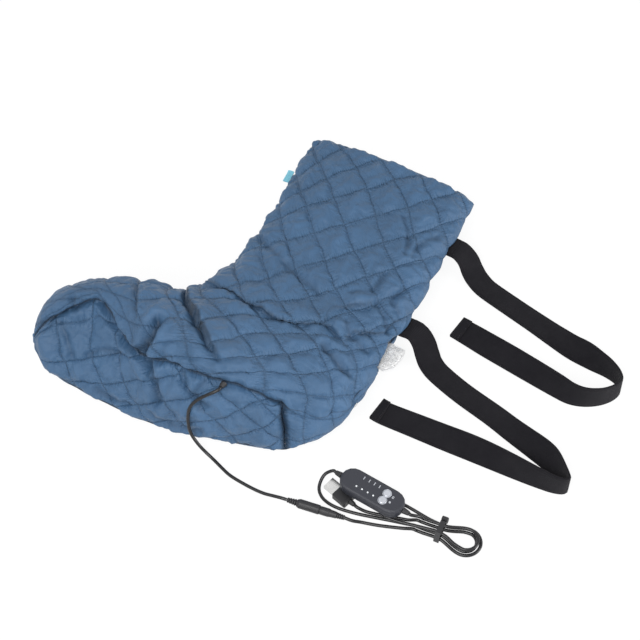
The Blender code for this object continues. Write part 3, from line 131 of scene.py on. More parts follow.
# Stations from the toe to the top of the leg: front seam, upper and lower sole seam
# as shares along and across the foot or leg and of its thickness, then the crown's
STATION_SHARES = [
    ("foot", (1.02, 0.31, 0.37), (1.00, 0.12, 0.40), (0.99, 0.08, 0.33), 0.40),
    ("foot", (1.00, 0.45, 0.45), (0.95, 0.19, 0.62), (0.92, -0.01, 0.15), 0.66),
    ("foot", (0.94, 0.58, 0.49), (0.87, 0.34, 0.73), (0.80, -0.06, 0.09), 0.78),
    ("foot", (0.84, 0.69, 0.52), (0.76, 0.38, 0.80), (0.68, -0.09, 0.06), 0.87),
    ("foot", (0.73, 0.77, 0.52), (0.62, 0.23, 0.84), (0.53, -0.13, 0.06), 0.95),
    ("foot", (0.63, 0.80, 0.52), (0.48, 0.10, 0.86), (0.38, -0.12, 0.06), 1.00),
    ("foot", (0.56, 0.83, 0.47), (0.31, 0.07, 0.85), (0.23, -0.08, 0.06), 0.99),
    ("foot", (0.54, 0.88, 0.41), (0.17, 0.12, 0.75), (0.12, -0.04, 0.06), 0.91),
    ("foot", (0.53, 0.96, 0.38), (0.05, 0.17, 0.56), (0.01, 0.01, 0.06), 0.82),
    ("leg", (0.35, 0.98, 0.66), (0.12, 0.04, 0.68), (0.11, 0.02, 0.24), 1.36),
    ("leg", (0.40, 0.98, 0.60), (0.22, 0.00, 0.60), (0.22, -0.02, 0.32), 1.20),
    ("leg", (0.45, 0.96, 0.56), (0.33, -0.03, 0.54), (0.33, -0.03, 0.40), 1.08),
    ("leg", (0.57, 0.95, 0.52), (0.46, -0.03, 0.53), (0.46, -0.03, 0.40), 1.02),
    ("leg", (0.73, 0.97, 0.50), (0.67, -0.01, 0.52), (0.67, -0.01, 0.39), 0.99),
    ("leg", (0.86, 1.00, 0.50), (0.85, 0.01, 0.52), (0.85, 0.01, 0.39), 0.95),
    ("leg", (0.99, 1.03, 0.47), (1.00, 0.02, 0.50), (1.00, 0.02, 0.37), 0.86),
]
BELLY_SHARES = [0.0, 0.8] + [1.0] * 14

# Straps: where they start along the leg, and points with the band's tilt in degrees
UPPER_STRAP_ALONG_SHARE = 0.79
LOWER_STRAP_ALONG_SHARE = 0.466
UPPER_STRAP_ROUTE = metres([
    (19, -12, 200, 0), (64, -42, 197, 0), (114, -87, 150, 0), (154, -142, 60, 0), (209, -227, 10, 0),
    (309, -362, 0, 0), (529, -567, 0, 0), (774, -790, 0, 2), (969, -977, 0, 10), (1139, -1132, 0, 25),
    (1329, -1257, 0, 55), (1489, -1347, 0, 78), (1584, -1437, 0, 90), (1594, -1532, 0, 92),
    (1519, -1612, 0, 95), (1389, -1667, 0, 98), (1229, -1682, 0, 104), (1079, -1650, 0, 115),
    (929, -1557, 0, 125), (709, -1402, 0, 135), (489, -1242, 0, 145), (279, -1087, 0, 155),
    (109, -952, 0, 165), (-6, -862, 0, 172),
])
LOWER_STRAP_ROUTE = metres([
    (69, -39, 204, 0), (114, -64, 200, 0), (154, -114, 150, 0), (184, -179, 70, 0), (224, -269, 15, 0),
    (314, -404, 0, 0), (531, -634, 0, 0), (820, -895, 0, 2), (995, -1069, 0, 7), (1154, -1224, 0, 18),
    (1314, -1379, 0, 42), (1444, -1499, 0, 72), (1519, -1574, 0, 88), (1534, -1624, 0, 91),
    (1494, -1654, 0, 94), (1394, -1641, 0, 98), (1254, -1589, 0, 106), (1087, -1517, 0, 116),
    (887, -1424, 0, 128), (602, -1289, 0, 147), (382, -1184, 0, 160), (94, -1039, 0, 170),
    (-181, -902, 0, 175), (-276, -839, 0, 176),
])

# Cords: points along the lead, the connector's cord with its hank, and the power cord
LEAD_LINE = metres([
    (-902, -1305, 760), (-925, -1336, 758), (-994, -1356, 730), (-1060, -1360, 687), (-1120, -1365, 637),
    (-1171, -1374, 578), (-1204, -1388, 508), (-1217, -1404, 433), (-1220, -1425, 357),
    (-1214, -1449, 283), (-1195, -1476, 212), (-1159, -1505, 149), (-1115, -1536, 92),
    (-1062, -1573, 47), (-1005, -1621, 25), (-951, -1677, 18), (-898, -1735, 16), (-843, -1791, 17),
    (-780, -1838, 17), (-714, -1881, 17), (-647, -1922, 17), (-579, -1960, 18), (-509, -1994, 23),
    (-436, -2021, 33), (-363, -2049, 46), (-306, -2069, 46),
])
CONNECTOR_LINE = metres([
    (222, -2257, 46), (294, -2283, 37), (370, -2288, 20), (447, -2304, 18), (525, -2319, 17),
    (603, -2331, 17), (681, -2341, 17), (760, -2351, 19), (837, -2355, 17), (872, -2371, 17),
    (875, -2372, 17), (926, -2395, 17), (978, -2417, 22), (1029, -2440, 28), (1080, -2465, 28),
    (1125, -2501, 22), (1168, -2544, 17), (1211, -2585, 17), (1259, -2615, 17), (1315, -2625, 17),
    (1369, -2613, 17), (1414, -2582, 17), (1443, -2537, 17), (1452, -2485, 17), (1441, -2435, 17),
    (1412, -2393, 17), (1370, -2367, 17), (1309, -2350, 17), (1242, -2346, 18), (1175, -2342, 24),
    (1114, -2325, 29), (1060, -2299, 30), (1008, -2270, 28), (956, -2239, 32), (905, -2207, 37),
    (853, -2174, 42), (801, -2143, 47), (749, -2114, 52), (695, -2088, 57), (654, -2081, 57),
    (615, -2090, 57), (584, -2113, 57), (564, -2146, 57), (558, -2182, 57), (567, -2217, 57),
    (587, -2246, 57), (617, -2263, 57), (701, -2297, 57), (789, -2324, 57), (878, -2349, 57),
    (966, -2375, 59), (1052, -2407, 68), (1131, -2454, 64), (1200, -2524, 57), (1275, -2579, 57),
    (1316, -2588, 57), (1356, -2581, 57), (1391, -2559, 57), (1415, -2525, 57), (1424, -2484, 57),
    (1417, -2444, 57), (1395, -2409, 57), (1362, -2385, 57), (1315, -2371, 57), (1264, -2365, 57),
    (1211, -2363, 60), (1160, -2359, 65), (1112, -2346, 69), (1067, -2326, 67), (1023, -2306, 61),
    (978, -2287, 57), (976, -2285, 57), (941, -2270, 54), (893, -2275, 104), (826, -2280, 137),
    (807, -2268, 140),
])
POWER_LINE = metres([
    (145, -1834, 140), (120, -1818, 140), (51, -1827, 100), (7, -1882, 62), (-9, -1956, 32),
    (19, -2030, 19), (76, -2089, 17), (145, -2132, 17), (220, -2163, 17), (298, -2188, 17),
    (377, -2210, 17), (456, -2228, 17), (536, -2246, 17), (616, -2264, 17), (695, -2283, 18),
    (774, -2303, 19), (853, -2318, 17), (888, -2334, 17), (891, -2335, 17), (942, -2358, 17),
    (994, -2381, 22), (1045, -2404, 28), (1096, -2428, 28), (1142, -2464, 22), (1184, -2507, 17),
    (1227, -2548, 17), (1275, -2579, 17), (1316, -2585, 17), (1355, -2576, 17), (1386, -2553, 17),
    (1406, -2521, 17), (1412, -2484, 17), (1403, -2449, 17), (1383, -2421, 17), (1353, -2403, 17),
    (1299, -2387, 17), (1239, -2383, 17), (1179, -2380, 22), (1122, -2370, 28), (1070, -2349, 28),
    (1018, -2326, 22), (967, -2303, 17), (915, -2280, 17), (913, -2279, 17), (878, -2264, 17),
    (802, -2265, 19), (724, -2248, 18), (645, -2232, 17), (567, -2215, 17), (489, -2197, 17),
    (413, -2176, 20), (342, -2148, 41), (316, -2123, 41),
])

# Creases of the padding, each as depth, half width and points in a picture of
# 640 by 640 taken by the scene's camera
CREASES = [
    (0.0080, 4.5, [(144, 352), (147, 360), (149, 366)]),
    (0.0044, 4.0, [(147, 362), (152, 373), (158, 401)]),
    (0.0075, 4.5, [(144, 350), (148, 340), (151, 334), (158, 320)]),
    (0.0056, 2.8, [(98, 299), (106, 309), (113, 321), (122, 335), (132, 347), (146, 356)]),
    (0.0030, 3.0, [(97, 388), (109, 397), (128, 404)]),
    (0.0030, 3.0, [(73, 298), (76, 309)]),
    (0.0045, 3.5, [(323, 345), (336, 362), (349, 375)]),
    (0.0030, 3.0, [(376, 303), (384, 318), (387, 333)]),
    (0.0026, 3.5, [(262, 240), (290, 268), (318, 292)]),
    (0.0034, 3.0, [(182, 372), (192, 396), (207, 405)]),
    (0.0030, 3.0, [(345, 322), (350, 335), (367, 352)]),
    (0.0030, 3.0, [(404, 217), (409, 240), (404, 254)]),
    (0.0028, 3.0, [(384, 276), (372, 290), (352, 293)]),
    (0.0026, 3.0, [(405, 288), (392, 300), (398, 314)]),
    (0.0026, 3.0, [(118, 352), (101, 350), (88, 355)]),
    (0.0026, 3.0, [(150, 412), (172, 424), (200, 430)]),
    (0.0024, 3.0, [(206, 380), (196, 392), (200, 408)]),
    (0.0026, 3.0, [(60, 322), (68, 340), (72, 356)]),
    (0.0024, 3.0, [(412, 255), (420, 244), (436, 238)]),
]

# Folds where one side lies over the other, the raised side on the line's left: lip
# height, undercut, overlap, half width in pixels, and points in the same picture
FOLDS = [
    (0.0042, 0.0036, 0.0045, 8.0, [(200, 279), (209, 283), (219, 285), (230, 288), (243, 297),
                                   (257, 304), (275, 315), (298, 321), (320, 321), (331, 325),
                                   (341, 337), (347, 349)]),
    (0.0036, 0.0130, 0.0024, 9.0, [(180, 272), (187, 288), (192, 303), (200, 317), (208, 331),
                                   (214, 346), (221, 362)]),
    (0.0028, 0.0056, 0.0020, 6.0, [(47, 325), (53, 317), (64, 309), (80, 302), (92, 298), (104, 302)]),
    (0.0016, 0.0036, 0.0012, 5.0, [(139, 282), (138, 300), (137, 320)]),
    (0.0014, 0.0034, 0.0012, 5.0, [(343, 346), (350, 334), (364, 331), (381, 333), (393, 322),
                                   (408, 317)]),
    (0.0016, 0.0030, 0.0010, 5.0, [(322, 322), (330, 310), (345, 306), (361, 305), (376, 303)]),
]

# Stitched lines of the quilting that show in the same picture: family, number and
# points, on the flank and on the sole
FLANK_LINES = [
    (0, 0, [(302, 191), (327, 179), (362, 166)]),
    (0, 1, [(280, 218), (306, 205), (335, 197), (362, 189), (394, 179)]),
    (0, 2, [(243, 254), (284, 242), (323, 232), (355, 222), (404, 209), (433, 200)]),
    (0, 3, [(239, 285), (296, 269), (327, 261), (355, 250), (384, 242), (443, 224), (458, 219)]),
    (0, 4, [(276, 303), (313, 297), (337, 288), (366, 277), (423, 261), (447, 254)]),
    (0, 5, [(319, 320), (349, 311), (384, 301), (404, 291), (429, 281)]),
    (0, 5, [(154, 326), (172, 317), (181, 316), (195, 322), (226, 316), (241, 315), (264, 318),
            (295, 320)]),
    (0, 4, [(110, 292), (149, 300), (172, 297), (192, 300), (216, 299)]),
    (0, 6, [(150, 347), (172, 341), (186, 340), (200, 343), (221, 342), (241, 335), (272, 334),
            (287, 334), (318, 335), (341, 342), (372, 330), (412, 314)]),
    (0, 7, [(160, 356), (190, 358), (220, 360), (255, 357), (279, 356), (293, 353), (318, 348),
            (342, 349), (353, 351), (385, 345)]),
    (0, 8, [(256, 371), (296, 375), (327, 372), (354, 371), (372, 365)]),
    (0, 9, [(287, 391), (310, 394), (333, 398), (347, 396)]),
    (0, 10, [(292, 414), (310, 418), (325, 419)]),
    (1, -6, [(107, 285), (118, 299), (129, 324), (143, 348)]),
    (1, -5, [(139, 285), (138, 300), (140, 320), (151, 347)]),
    (1, -4, [(166, 292), (176, 308), (186, 340), (191, 364)]),
    (1, -3, [(206, 300), (226, 316), (241, 335), (253, 353), (266, 371)]),
    (1, -2, [(234, 261), (235, 273), (241, 287), (260, 315), (272, 334), (284, 350), (296, 373),
             (305, 387), (309, 402), (306, 419)]),
    (1, -1, [(262, 254), (268, 277), (278, 301), (295, 320), (307, 333), (318, 348), (325, 368),
             (331, 379), (333, 399), (330, 415)]),
    (1, 0, [(282, 228), (290, 252), (296, 271), (313, 303), (319, 320), (340, 338), (353, 351),
            (356, 364), (354, 387)]),
    (1, 1, [(299, 188), (306, 205), (323, 250), (335, 289), (349, 311), (368, 334), (378, 352)]),
    (1, 2, [(325, 175), (335, 199), (353, 250), (366, 277), (378, 299), (392, 322)]),
    (1, 3, [(352, 161), (362, 179), (376, 216), (392, 263), (406, 288)]),
    (1, 4, [(396, 182), (404, 197), (413, 232), (423, 261), (429, 273)]),
    (1, 5, [(426, 190), (433, 201), (443, 230), (450, 250)]),
]
SOLE_LINES = [
    (0, 1, [(47, 326), (82, 322), (109, 321), (120, 322)]),
    (0, 2, [(45, 362), (65, 361), (88, 358), (104, 356), (120, 353), (140, 352)]),
    (0, 3, [(65, 382), (105, 386), (120, 383), (134, 380), (158, 378), (178, 378)]),
    (0, 4, [(90, 398), (116, 407), (141, 405), (159, 403), (182, 399), (205, 390)]),
    (0, 5, [(150, 421), (175, 421), (200, 421), (222, 420), (241, 412), (261, 401), (272, 398)]),
    (0, 6, [(205, 438), (230, 437), (252, 430), (275, 418)]),
    (1, 1, [(57, 319), (59, 346), (66, 367), (73, 385)]),
    (1, 2, [(92, 303), (91, 331), (90, 346), (93, 367), (104, 385), (114, 407)]),
    (1, 3, [(117, 322), (118, 353), (120, 367), (122, 383), (134, 400), (150, 421)]),
    (1, 4, [(144, 352), (149, 372), (156, 392), (172, 412), (188, 432)]),
    (1, 5, [(176, 368), (185, 385), (198, 403), (218, 424), (235, 441)]),
    (1, 6, [(206, 379), (215, 385), (225, 399), (241, 412), (266, 431), (279, 437)]),
    (1, 7, [(240, 386), (256, 395), (272, 412), (284, 424)]),
]
# Where the sole's seam shows round the toe, from and to these half cells
TOE_SEAM = [
    (43.4, 322.5), (54, 315), (66, 308), (79, 302), (91, 298.5), (100, 300), (106, 309),
    (113, 321), (121, 335), (130, 346), (139, 354), (151, 358), (164.2, 360.0),
]
TOE_SEAM_ROWS = (2, 14)
PINCH_ROW = 14.8
SEAM_WAVER_PIXELS = 1.6

CAMERA_DISTANCE = 1.511
CAMERA_RISE = math.radians(54)
CAMERA_LENS = 85.0
SENSOR_WIDTH = 36.0
PICTURE_SIDE = 640
PICTURE_SCALE = PICTURE_SIDE * CAMERA_LENS / SENSOR_WIDTH
CAMERA_EYE = (0.0, -CAMERA_DISTANCE * math.cos(CAMERA_RISE), CAMERA_DISTANCE * math.sin(CAMERA_RISE))


def length(name, description, default):
    """A length that a user can change."""
    return FloatProperty(name=name, description=description, default=default, unit="LENGTH")


def share(name, description, default):
    """A plain number that a user can change."""
    return FloatProperty(name=name, description=description, default=default)


def power(name, description, default):
    """A lamp's power that a user can change."""
    return FloatProperty(name=name, description=description, default=default, unit="POWER")


def number(name, description, default, low, high):
    """A whole number that a user can change."""
    return IntProperty(name=name, description=description, default=default, min=low, max=high)


def colour(name, description, default):
    """A colour that a user can change."""
    return FloatVectorProperty(name=name, description=description, default=default, subtype="COLOR")


class BootSizes(bpy.types.PropertyGroup):
    """Sizes of the padding, the straps and the threads."""

    puff: length("Puff height", "How far a quilted cushion stands out", 0.0060)
    valley: share("Valley width", "Sharpness of the quilting's valleys, lower is flatter cushions", 0.82)
    roll: length("Seam roll", "How deep the shell rolls in at its seams", 0.0040)
    roll_width: length("Roll width", "How wide the rolled edge at a seam is", 0.008)
    steps: number("Shell steps", "Mesh steps in half a quilt cell", 7, 2, 8)
    cloth_steps: number("Cloth steps", "Steps in half a quilt cell of the simulated cloth", 4, 2, 6)
    cloth_frames: number("Cloth frames", "Frames that the filling takes to blow up the cloth", 20, 5, 60)
    cloth_spare: share("Spare cloth",
                       "Share by which the cloth is larger than the padding under it", 0.065)
    cloth_share: share("Cloth share", "Share of the simulated wrinkles that the shell takes", 0.75)
    cloth_reach: length("Cloth reach", "Furthest that the simulated cloth may move", 0.0065)
    lining_steps: number("Lining steps", "Lining mesh steps in half a quilt cell", 3, 1, 6)
    pile: length("Pile height", "Height of the fleece's tufts", 0.0011)
    stitch: length("Stitch pitch", "Distance from stitch to stitch", 0.0034)
    stitch_sink: length("Stitch sink", "How deep a stitched line pulls into the cloth", 0.0010)
    thread: length("Thread diameter", "Diameter of the sewing thread", 0.0005)
    strap_width: length("Strap width", "Width of the elastic webbing", 0.025)
    strap_thickness: length("Strap thickness", "Thickness of the elastic webbing", 0.0022)
    cord: length("Cord diameter", "Diameter of the round cord", 0.0032)


class BootColours(bpy.types.PropertyGroup):
    """Colours of the finishes."""

    shell: colour("Shell", "Quilted polyester", (0.0530, 0.1220, 0.2300))
    fleece: colour("Fleece", "White pile of the lining", (0.96, 0.96, 0.96))
    webbing: colour("Webbing", "Elastic straps", (0.0080, 0.0075, 0.0100))
    tag: colour("Tag", "Woven side tag", (0.30, 0.74, 0.93))
    cord: colour("Cord", "Jacket of the cords", (0.0085, 0.0085, 0.0100))
    housing: colour("Housing", "Moulded controller housing", (0.024, 0.026, 0.036))
    button: colour("Button", "Silver push buttons", (0.55, 0.57, 0.62))


class StageSettings(bpy.types.PropertyGroup):
    """Light and floor."""

    sky: share("Sky light", "Strength of the even light from all round", 0.42)
    key: power("Key light", "Power of the large lamp in front", 17.0)
    fill: power("Fill light", "Power of the large lamp behind on the left", 3.5)
    side: power("Side light", "Power of the low lamp on the right", 13.0)
    floor_shadow: share("Floor shadow", "Share of the object's shadow that the floor shows", 0.14)


# Helpers for pieces


def linked(name, data):
    """A new object with its data, in the scene."""
    thing = bpy.data.objects.new(name, data)
    bpy.context.scene.collection.objects.link(thing)
    return thing


def frame_object(name):
    """The object of one of the frame's nodes."""
    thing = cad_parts[name]
    return bpy.data.objects[thing] if isinstance(thing, str) else thing


def add_piece(name, mesh, material, body, replaces=()):
    """Link a finished mesh as a piece that rides on a body and stands for nodes."""
    thing = linked(name, mesh)
    if material and not mesh.materials:
        mesh.materials.append(material)
    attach(thing, body)
    if replaces:
        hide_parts(*replaces)
    return thing


def mesh_from(name, vertices, faces, uvs=None, **maps):
    """A mesh with its normals outwards; uvs and further maps are given for each vertex."""
    mesh = bpy.data.meshes.new(name)
    mesh.from_pydata([tuple(v) for v in vertices], [], faces)
    if uvs is not None:
        order = np.zeros(len(mesh.loops), np.int32)
        mesh.loops.foreach_get("vertex_index", order)
        for label, places in {"cloth": uvs, **maps}.items():
            layer = mesh.uv_layers.new(name=label)
            layer.data.foreach_set("uv", np.array(places, np.float32)[order].ravel())
        mesh.uv_layers.active_index = 0
    work = bmesh.new()
    work.from_mesh(mesh)
    bmesh.ops.recalc_face_normals(work, faces=work.faces)
    work.to_mesh(mesh)
    work.free()
    mesh.shade_smooth()
    return mesh


def loft_faces(rings, count, closed=False):
    """Quads between rings of points; the end rings are capped, or the last meets the first."""
    faces = []
    if not closed:
        faces += [list(range(count))[::-1], [(rings - 1) * count + i for i in range(count)]]
    for ring in range(rings if closed else rings - 1):
        low = ring * count
        high = (ring + 1) % rings * count
        for i in range(count):
            j = (i + 1) % count
            faces.append([low + i, low + j, high + j, high + i])
    return faces


def lofted(name, loops, sharp=40):
    """A closed mesh through loops of equal count, its ends capped."""
    vertices = [Vector(point) for loop in loops for point in loop]
    mesh = mesh_from(name, vertices, loft_faces(len(loops), len(loops[0])))
    mesh.set_sharp_from_angle(angle=math.radians(sharp))
    return mesh


def unit(vector):
    """A vector of length one."""
    return vector / np.linalg.norm(vector)


def smooth_path(points, steps):
    """Points on a Catmull-Rom curve through the given points."""
    ends = [2 * np.array(points[0]) - np.array(points[1])]
    ends += [np.array(point, dtype=float) for point in points]
    ends += [2 * np.array(points[-1]) - np.array(points[-2])]
    path = []
    for k in range(1, len(ends) - 2):
        before, start, end, after = ends[k - 1:k + 3]
        for step in range(steps):
            t = step / steps
            path.append(0.5 * (2 * start + (end - before) * t
                               + (2 * before - 5 * start + 4 * end - after) * t * t
                               + (3 * start - before - 3 * end + after) * t ** 3))
    path.append(ends[-2])
    return np.array(path)


def reaches(path):
    """Length of a path from its start to each of its points."""
    return np.concatenate([[0.0], np.cumsum(np.linalg.norm(np.diff(path, axis=0), axis=1))])


def resample(path, spacing):
    """Even points along a path, about one spacing apart."""
    reach = reaches(path[:, :3])
    count = max(2, int(round(reach[-1] / spacing)) + 1)
    marks = np.linspace(0, reach[-1], count)
    return np.stack([np.interp(marks, reach, path[:, axis]) for axis in range(path.shape[1])], axis=1)


def in_picture(points):
    """Where points show in the camera's picture, in pixels."""
    eye = np.array(CAMERA_EYE)
    ahead = -eye / np.linalg.norm(eye)
    right = np.array([1.0, 0.0, 0.0])
    up = np.cross(right, ahead)
    away = points - eye
    depth = away @ ahead
    half = 0.5 * PICTURE_SIDE
    return np.stack([half + (away @ right) / depth * PICTURE_SCALE,
                     half - (away @ up) / depth * PICTURE_SCALE], axis=-1)


def line_distance(spots, line):
    """Distance of picture spots to a line of points."""
    best = np.full(spots.shape[:-1], np.inf)
    for start, end in zip(line[:-1], line[1:]):
        away, way = spots - start, end - start
        t = np.clip((away @ way) / (way @ way), 0, 1)
        best = np.minimum(best, np.linalg.norm(away - t[..., None] * way, axis=-1))
    return best


def fold_place(spots, line):
    """Signed distance of picture spots to a line, left of it positive, the share along it,
    and the direction to its left."""
    best = np.full(spots.shape[:-1], np.inf)
    side, along = np.zeros(best.shape), np.zeros(best.shape)
    across = np.zeros(spots.shape)
    for k, (start, end) in enumerate(zip(line[:-1], line[1:])):
        away, way = spots - start, end - start
        t = np.clip((away @ way) / (way @ way), 0, 1)
        gap = np.linalg.norm(away - t[..., None] * way, axis=-1)
        near = gap < best
        best = np.where(near, gap, best)
        left = np.array([way[1], -way[0]]) / np.linalg.norm(way)
        side = np.where(near, np.sign(away @ left), side)
        along = np.where(near, (k + t) / (len(line) - 1), along)
        across[near] = left
    return best * side, along, across


def thin_plate(spots, values, ease):
    """The smoothest surface near the values at some spots, as a function of its two places."""
    def bend(d):
        return np.where(d > 0, d * d * np.log(np.maximum(d, 1e-12)), 0.0)

    apart = np.linalg.norm(spots[:, None] - spots[None], axis=2)
    count = len(spots)
    flat = np.concatenate([np.ones((count, 1)), spots], axis=1)
    matrix = np.zeros((count + 3, count + 3))
    matrix[:count, :count] = bend(apart) + ease * np.eye(count)
    matrix[:count, count:] = flat
    matrix[count:, :count] = flat.T
    weights = np.linalg.solve(matrix, np.concatenate([values, np.zeros(3)]))

    def value(p, q):
        result = weights[count] + weights[count + 1] * p + weights[count + 2] * q
        for spot, weight in zip(spots, weights[:count]):
            result = result + weight * bend(np.hypot(p - spot[0], q - spot[1]))
        return result

    return value


# Boot: the same loft as the solids, in finer steps


def boot_point(place, along, across):
    """A point in plan from shares of the foot's or the leg's sizes."""
    heel = np.array(HEEL_PLACE)
    if place == "foot":
        axis = np.array([math.cos(FOOT_ANGLE), math.sin(FOOT_ANGLE)])
        side = np.array([math.sin(FOOT_ANGLE), -math.cos(FOOT_ANGLE)])
        return heel + axis * along * FOOT_LENGTH + side * across * FOOT_DEPTH
    axis = np.array([math.cos(LEG_ANGLE), math.sin(LEG_ANGLE)])
    side = np.array([-math.sin(LEG_ANGLE), math.cos(LEG_ANGLE)])
    return heel + axis * along * LEG_LENGTH + side * (across * LEG_WIDTH - HEEL_OVERHANG)


def boot_stations():
    """Front seam, upper and lower sole seam, crown and belly, at even steps along."""
    rows = []
    for (place, front, upper, lower, crown), belly in zip(STATION_SHARES, BELLY_SHARES):
        thickness = FOOT_THICKNESS if place == "foot" else LEG_THICKNESS
        row = []
        for along, across, height in (front, upper, lower):
            row += [*boot_point(place, along, across), height * thickness]
        rows.append(row + [crown * thickness, belly])
    steps = 8
    path = smooth_path(rows, steps)
    front_steps = np.linalg.norm(np.diff(path[:, 0:3], axis=0), axis=1)
    lower_steps = np.linalg.norm(np.diff(path[:, 6:9], axis=0), axis=1)
    reach = np.concatenate([[0.0], np.cumsum(front_steps + lower_steps)])
    bounds = [0, steps * HEEL_STATION, steps * SLIT_STATION, len(path) - 1]
    marks = [0.0]
    for first, last, cells in zip(bounds[:-1], bounds[1:], (CELLS_FOOT, CELLS_HEEL, CELLS_LEG)):
        marks += list(np.linspace(reach[first], reach[last], 2 * cells + 1)[1:])
    return np.array([[np.interp(mark, reach, path[:, c]) for c in range(path.shape[1])] for mark in marks])


def round_share(v, width):
    """Share across a rounded panel: on a wide one the points crowd to its edges."""
    narrow, wide = ROUNDED_WIDTHS
    crowding = 0.55 * min(1.0, max(0.0, (width - narrow) / (wide - narrow)))
    return v - crowding * math.sin(2 * math.pi * v) / (2 * math.pi)


def boot_grid():
    """Outer points of the boot: a closed loop round it at each step along it."""
    stations = boot_stations()
    grid = np.zeros((len(stations), COLUMNS, 3))
    for p, row in enumerate(stations):
        front, upper, lower = row[0:3], row[3:6], row[6:9]
        crown, belly = row[9], min(1.0, max(0.0, row[10]))
        for q in range(UPPER_SEAM + 1):
            v = q / UPPER_SEAM
            point = front + (upper - front) * round_share(v, np.linalg.norm(upper - front))
            point[2] += (crown - 0.5 * (front[2] + upper[2])) * math.sin(math.pi * v) ** 0.7
            grid[p, q] = point
        outward = lower - front
        outward[2] = 0
        outward /= np.linalg.norm(outward)
        for q in range(1, 2 * CELLS_SOLE + 1):
            t = q / (2 * CELLS_SOLE)
            height_share = min(1.0, (upper[2] - lower[2]) / (0.5 * FOOT_THICKNESS))
            bulge = outward * SOLE_BULGE * math.sin(math.pi * t) * height_share
            grid[p, UPPER_SEAM + q] = upper + (lower - upper) * t + bulge
        for q in range(1, 2 * CELLS_UNDER):
            v = q / (2 * CELLS_UNDER)
            point = lower + (front - lower) * round_share(v, np.linalg.norm(front - lower))
            point[2] *= 1 - belly * min(1.0, math.sin(math.pi * v) / math.sin(0.28 * math.pi))
            grid[p, LOWER_SEAM + q] = point
    for q in (0, UPPER_SEAM, LOWER_SEAM):
        grid[1:-1:2, q] = 0.5 * (grid[0:-2:2, q] + grid[2::2, q])
    for p in (SOLE_END, SLIT_START):
        start, end = grid[p, UPPER_SEAM].copy(), grid[p, LOWER_SEAM].copy()
        for q in range(UPPER_SEAM, LOWER_SEAM + 1):
            grid[p, q] = start + (end - start) * (q - UPPER_SEAM) / (LOWER_SEAM - UPPER_SEAM)
    for p in (0, len(grid) - 1):
        ring = grid[p]
        ring[1::2] = 0.5 * (ring[0::2] + np.roll(ring[0::2], -1, axis=0))
    return grid


def grid_normals(grid):
    """Outward direction at each point, turned along the foot at the toe."""
    rows, columns = grid.shape[:2]
    normals = np.zeros_like(grid)
    for p in range(rows - 1):
        for q in range(columns):
            if p >= SLIT_START and UPPER_SEAM <= q < LOWER_SEAM:
                continue
            r = (q + 1) % columns
            face = np.cross(grid[p + 1, r] - grid[p, q], grid[p, r] - grid[p + 1, q])
            face /= np.linalg.norm(face)
            for corner in ((p, q), (p, r), (p + 1, q), (p + 1, r)):
                normals[corner] += face
    middle = grid.mean(axis=1)
    if normals[rows // 2, CELLS_TOP][2] < 0:
        normals = -normals
    for p in range(SLIT_START, rows):
        for q in range(UPPER_SEAM + 1, LOWER_SEAM):
            normals[p, q] = normals[p, UPPER_SEAM] + normals[p, LOWER_SEAM]
    normals /= np.linalg.norm(normals, axis=2, keepdims=True)
    for p in range(SOLE_END, rows):
        opening = grid[p, UPPER_SEAM][2] - grid[p, LOWER_SEAM][2]
        level = min(1.0, max(0.0, opening / (2 * FOLD_HEIGHT) - 0.5))
        for q in range(UPPER_SEAM, LOWER_SEAM + 1):
            normals[p, q][2] *= level
            normals[p, q] /= np.linalg.norm(normals[p, q])
    toe = middle[0] - middle[4]
    toe /= np.linalg.norm(toe)
    normals[0] = toe
    for p, weight in ((1, 0.8), (2, 0.4)):
        normals[p] += toe * weight
        normals[p] /= np.linalg.norm(normals[p], axis=1, keepdims=True)
    return normals


def curve_table(table, marks):
    """Catmull-Rom values of a table at fractional rows."""
    ends = np.concatenate([[2 * table[0] - table[1]], table, [2 * table[-1] - table[-2]]])
    k = np.clip(np.floor(marks).astype(int), 0, len(table) - 2)
    t = (marks - k).reshape(-1, *([1] * (table.ndim - 1)))
    a, b, c, d = ends[k], ends[k + 1], ends[k + 2], ends[k + 3]
    return 0.5 * (2 * b + (c - a) * t + (2 * a - 5 * b + 4 * c - d) * t * t
                  + (3 * b - a - 3 * c + d) * t ** 3)


def linear_table(table, marks):
    """Straight in-between values of a table at fractional rows."""
    k = np.clip(np.floor(marks).astype(int), 0, len(table) - 2)
    t = (marks - k).reshape(-1, *([1] * (table.ndim - 1)))
    return table[k] * (1 - t) + table[k + 1] * t


def keep_up(points):
    """Move points that lie below the floor up to just over it."""
    points[:, :, 2] = np.maximum(points[:, :, 2], LOWEST)


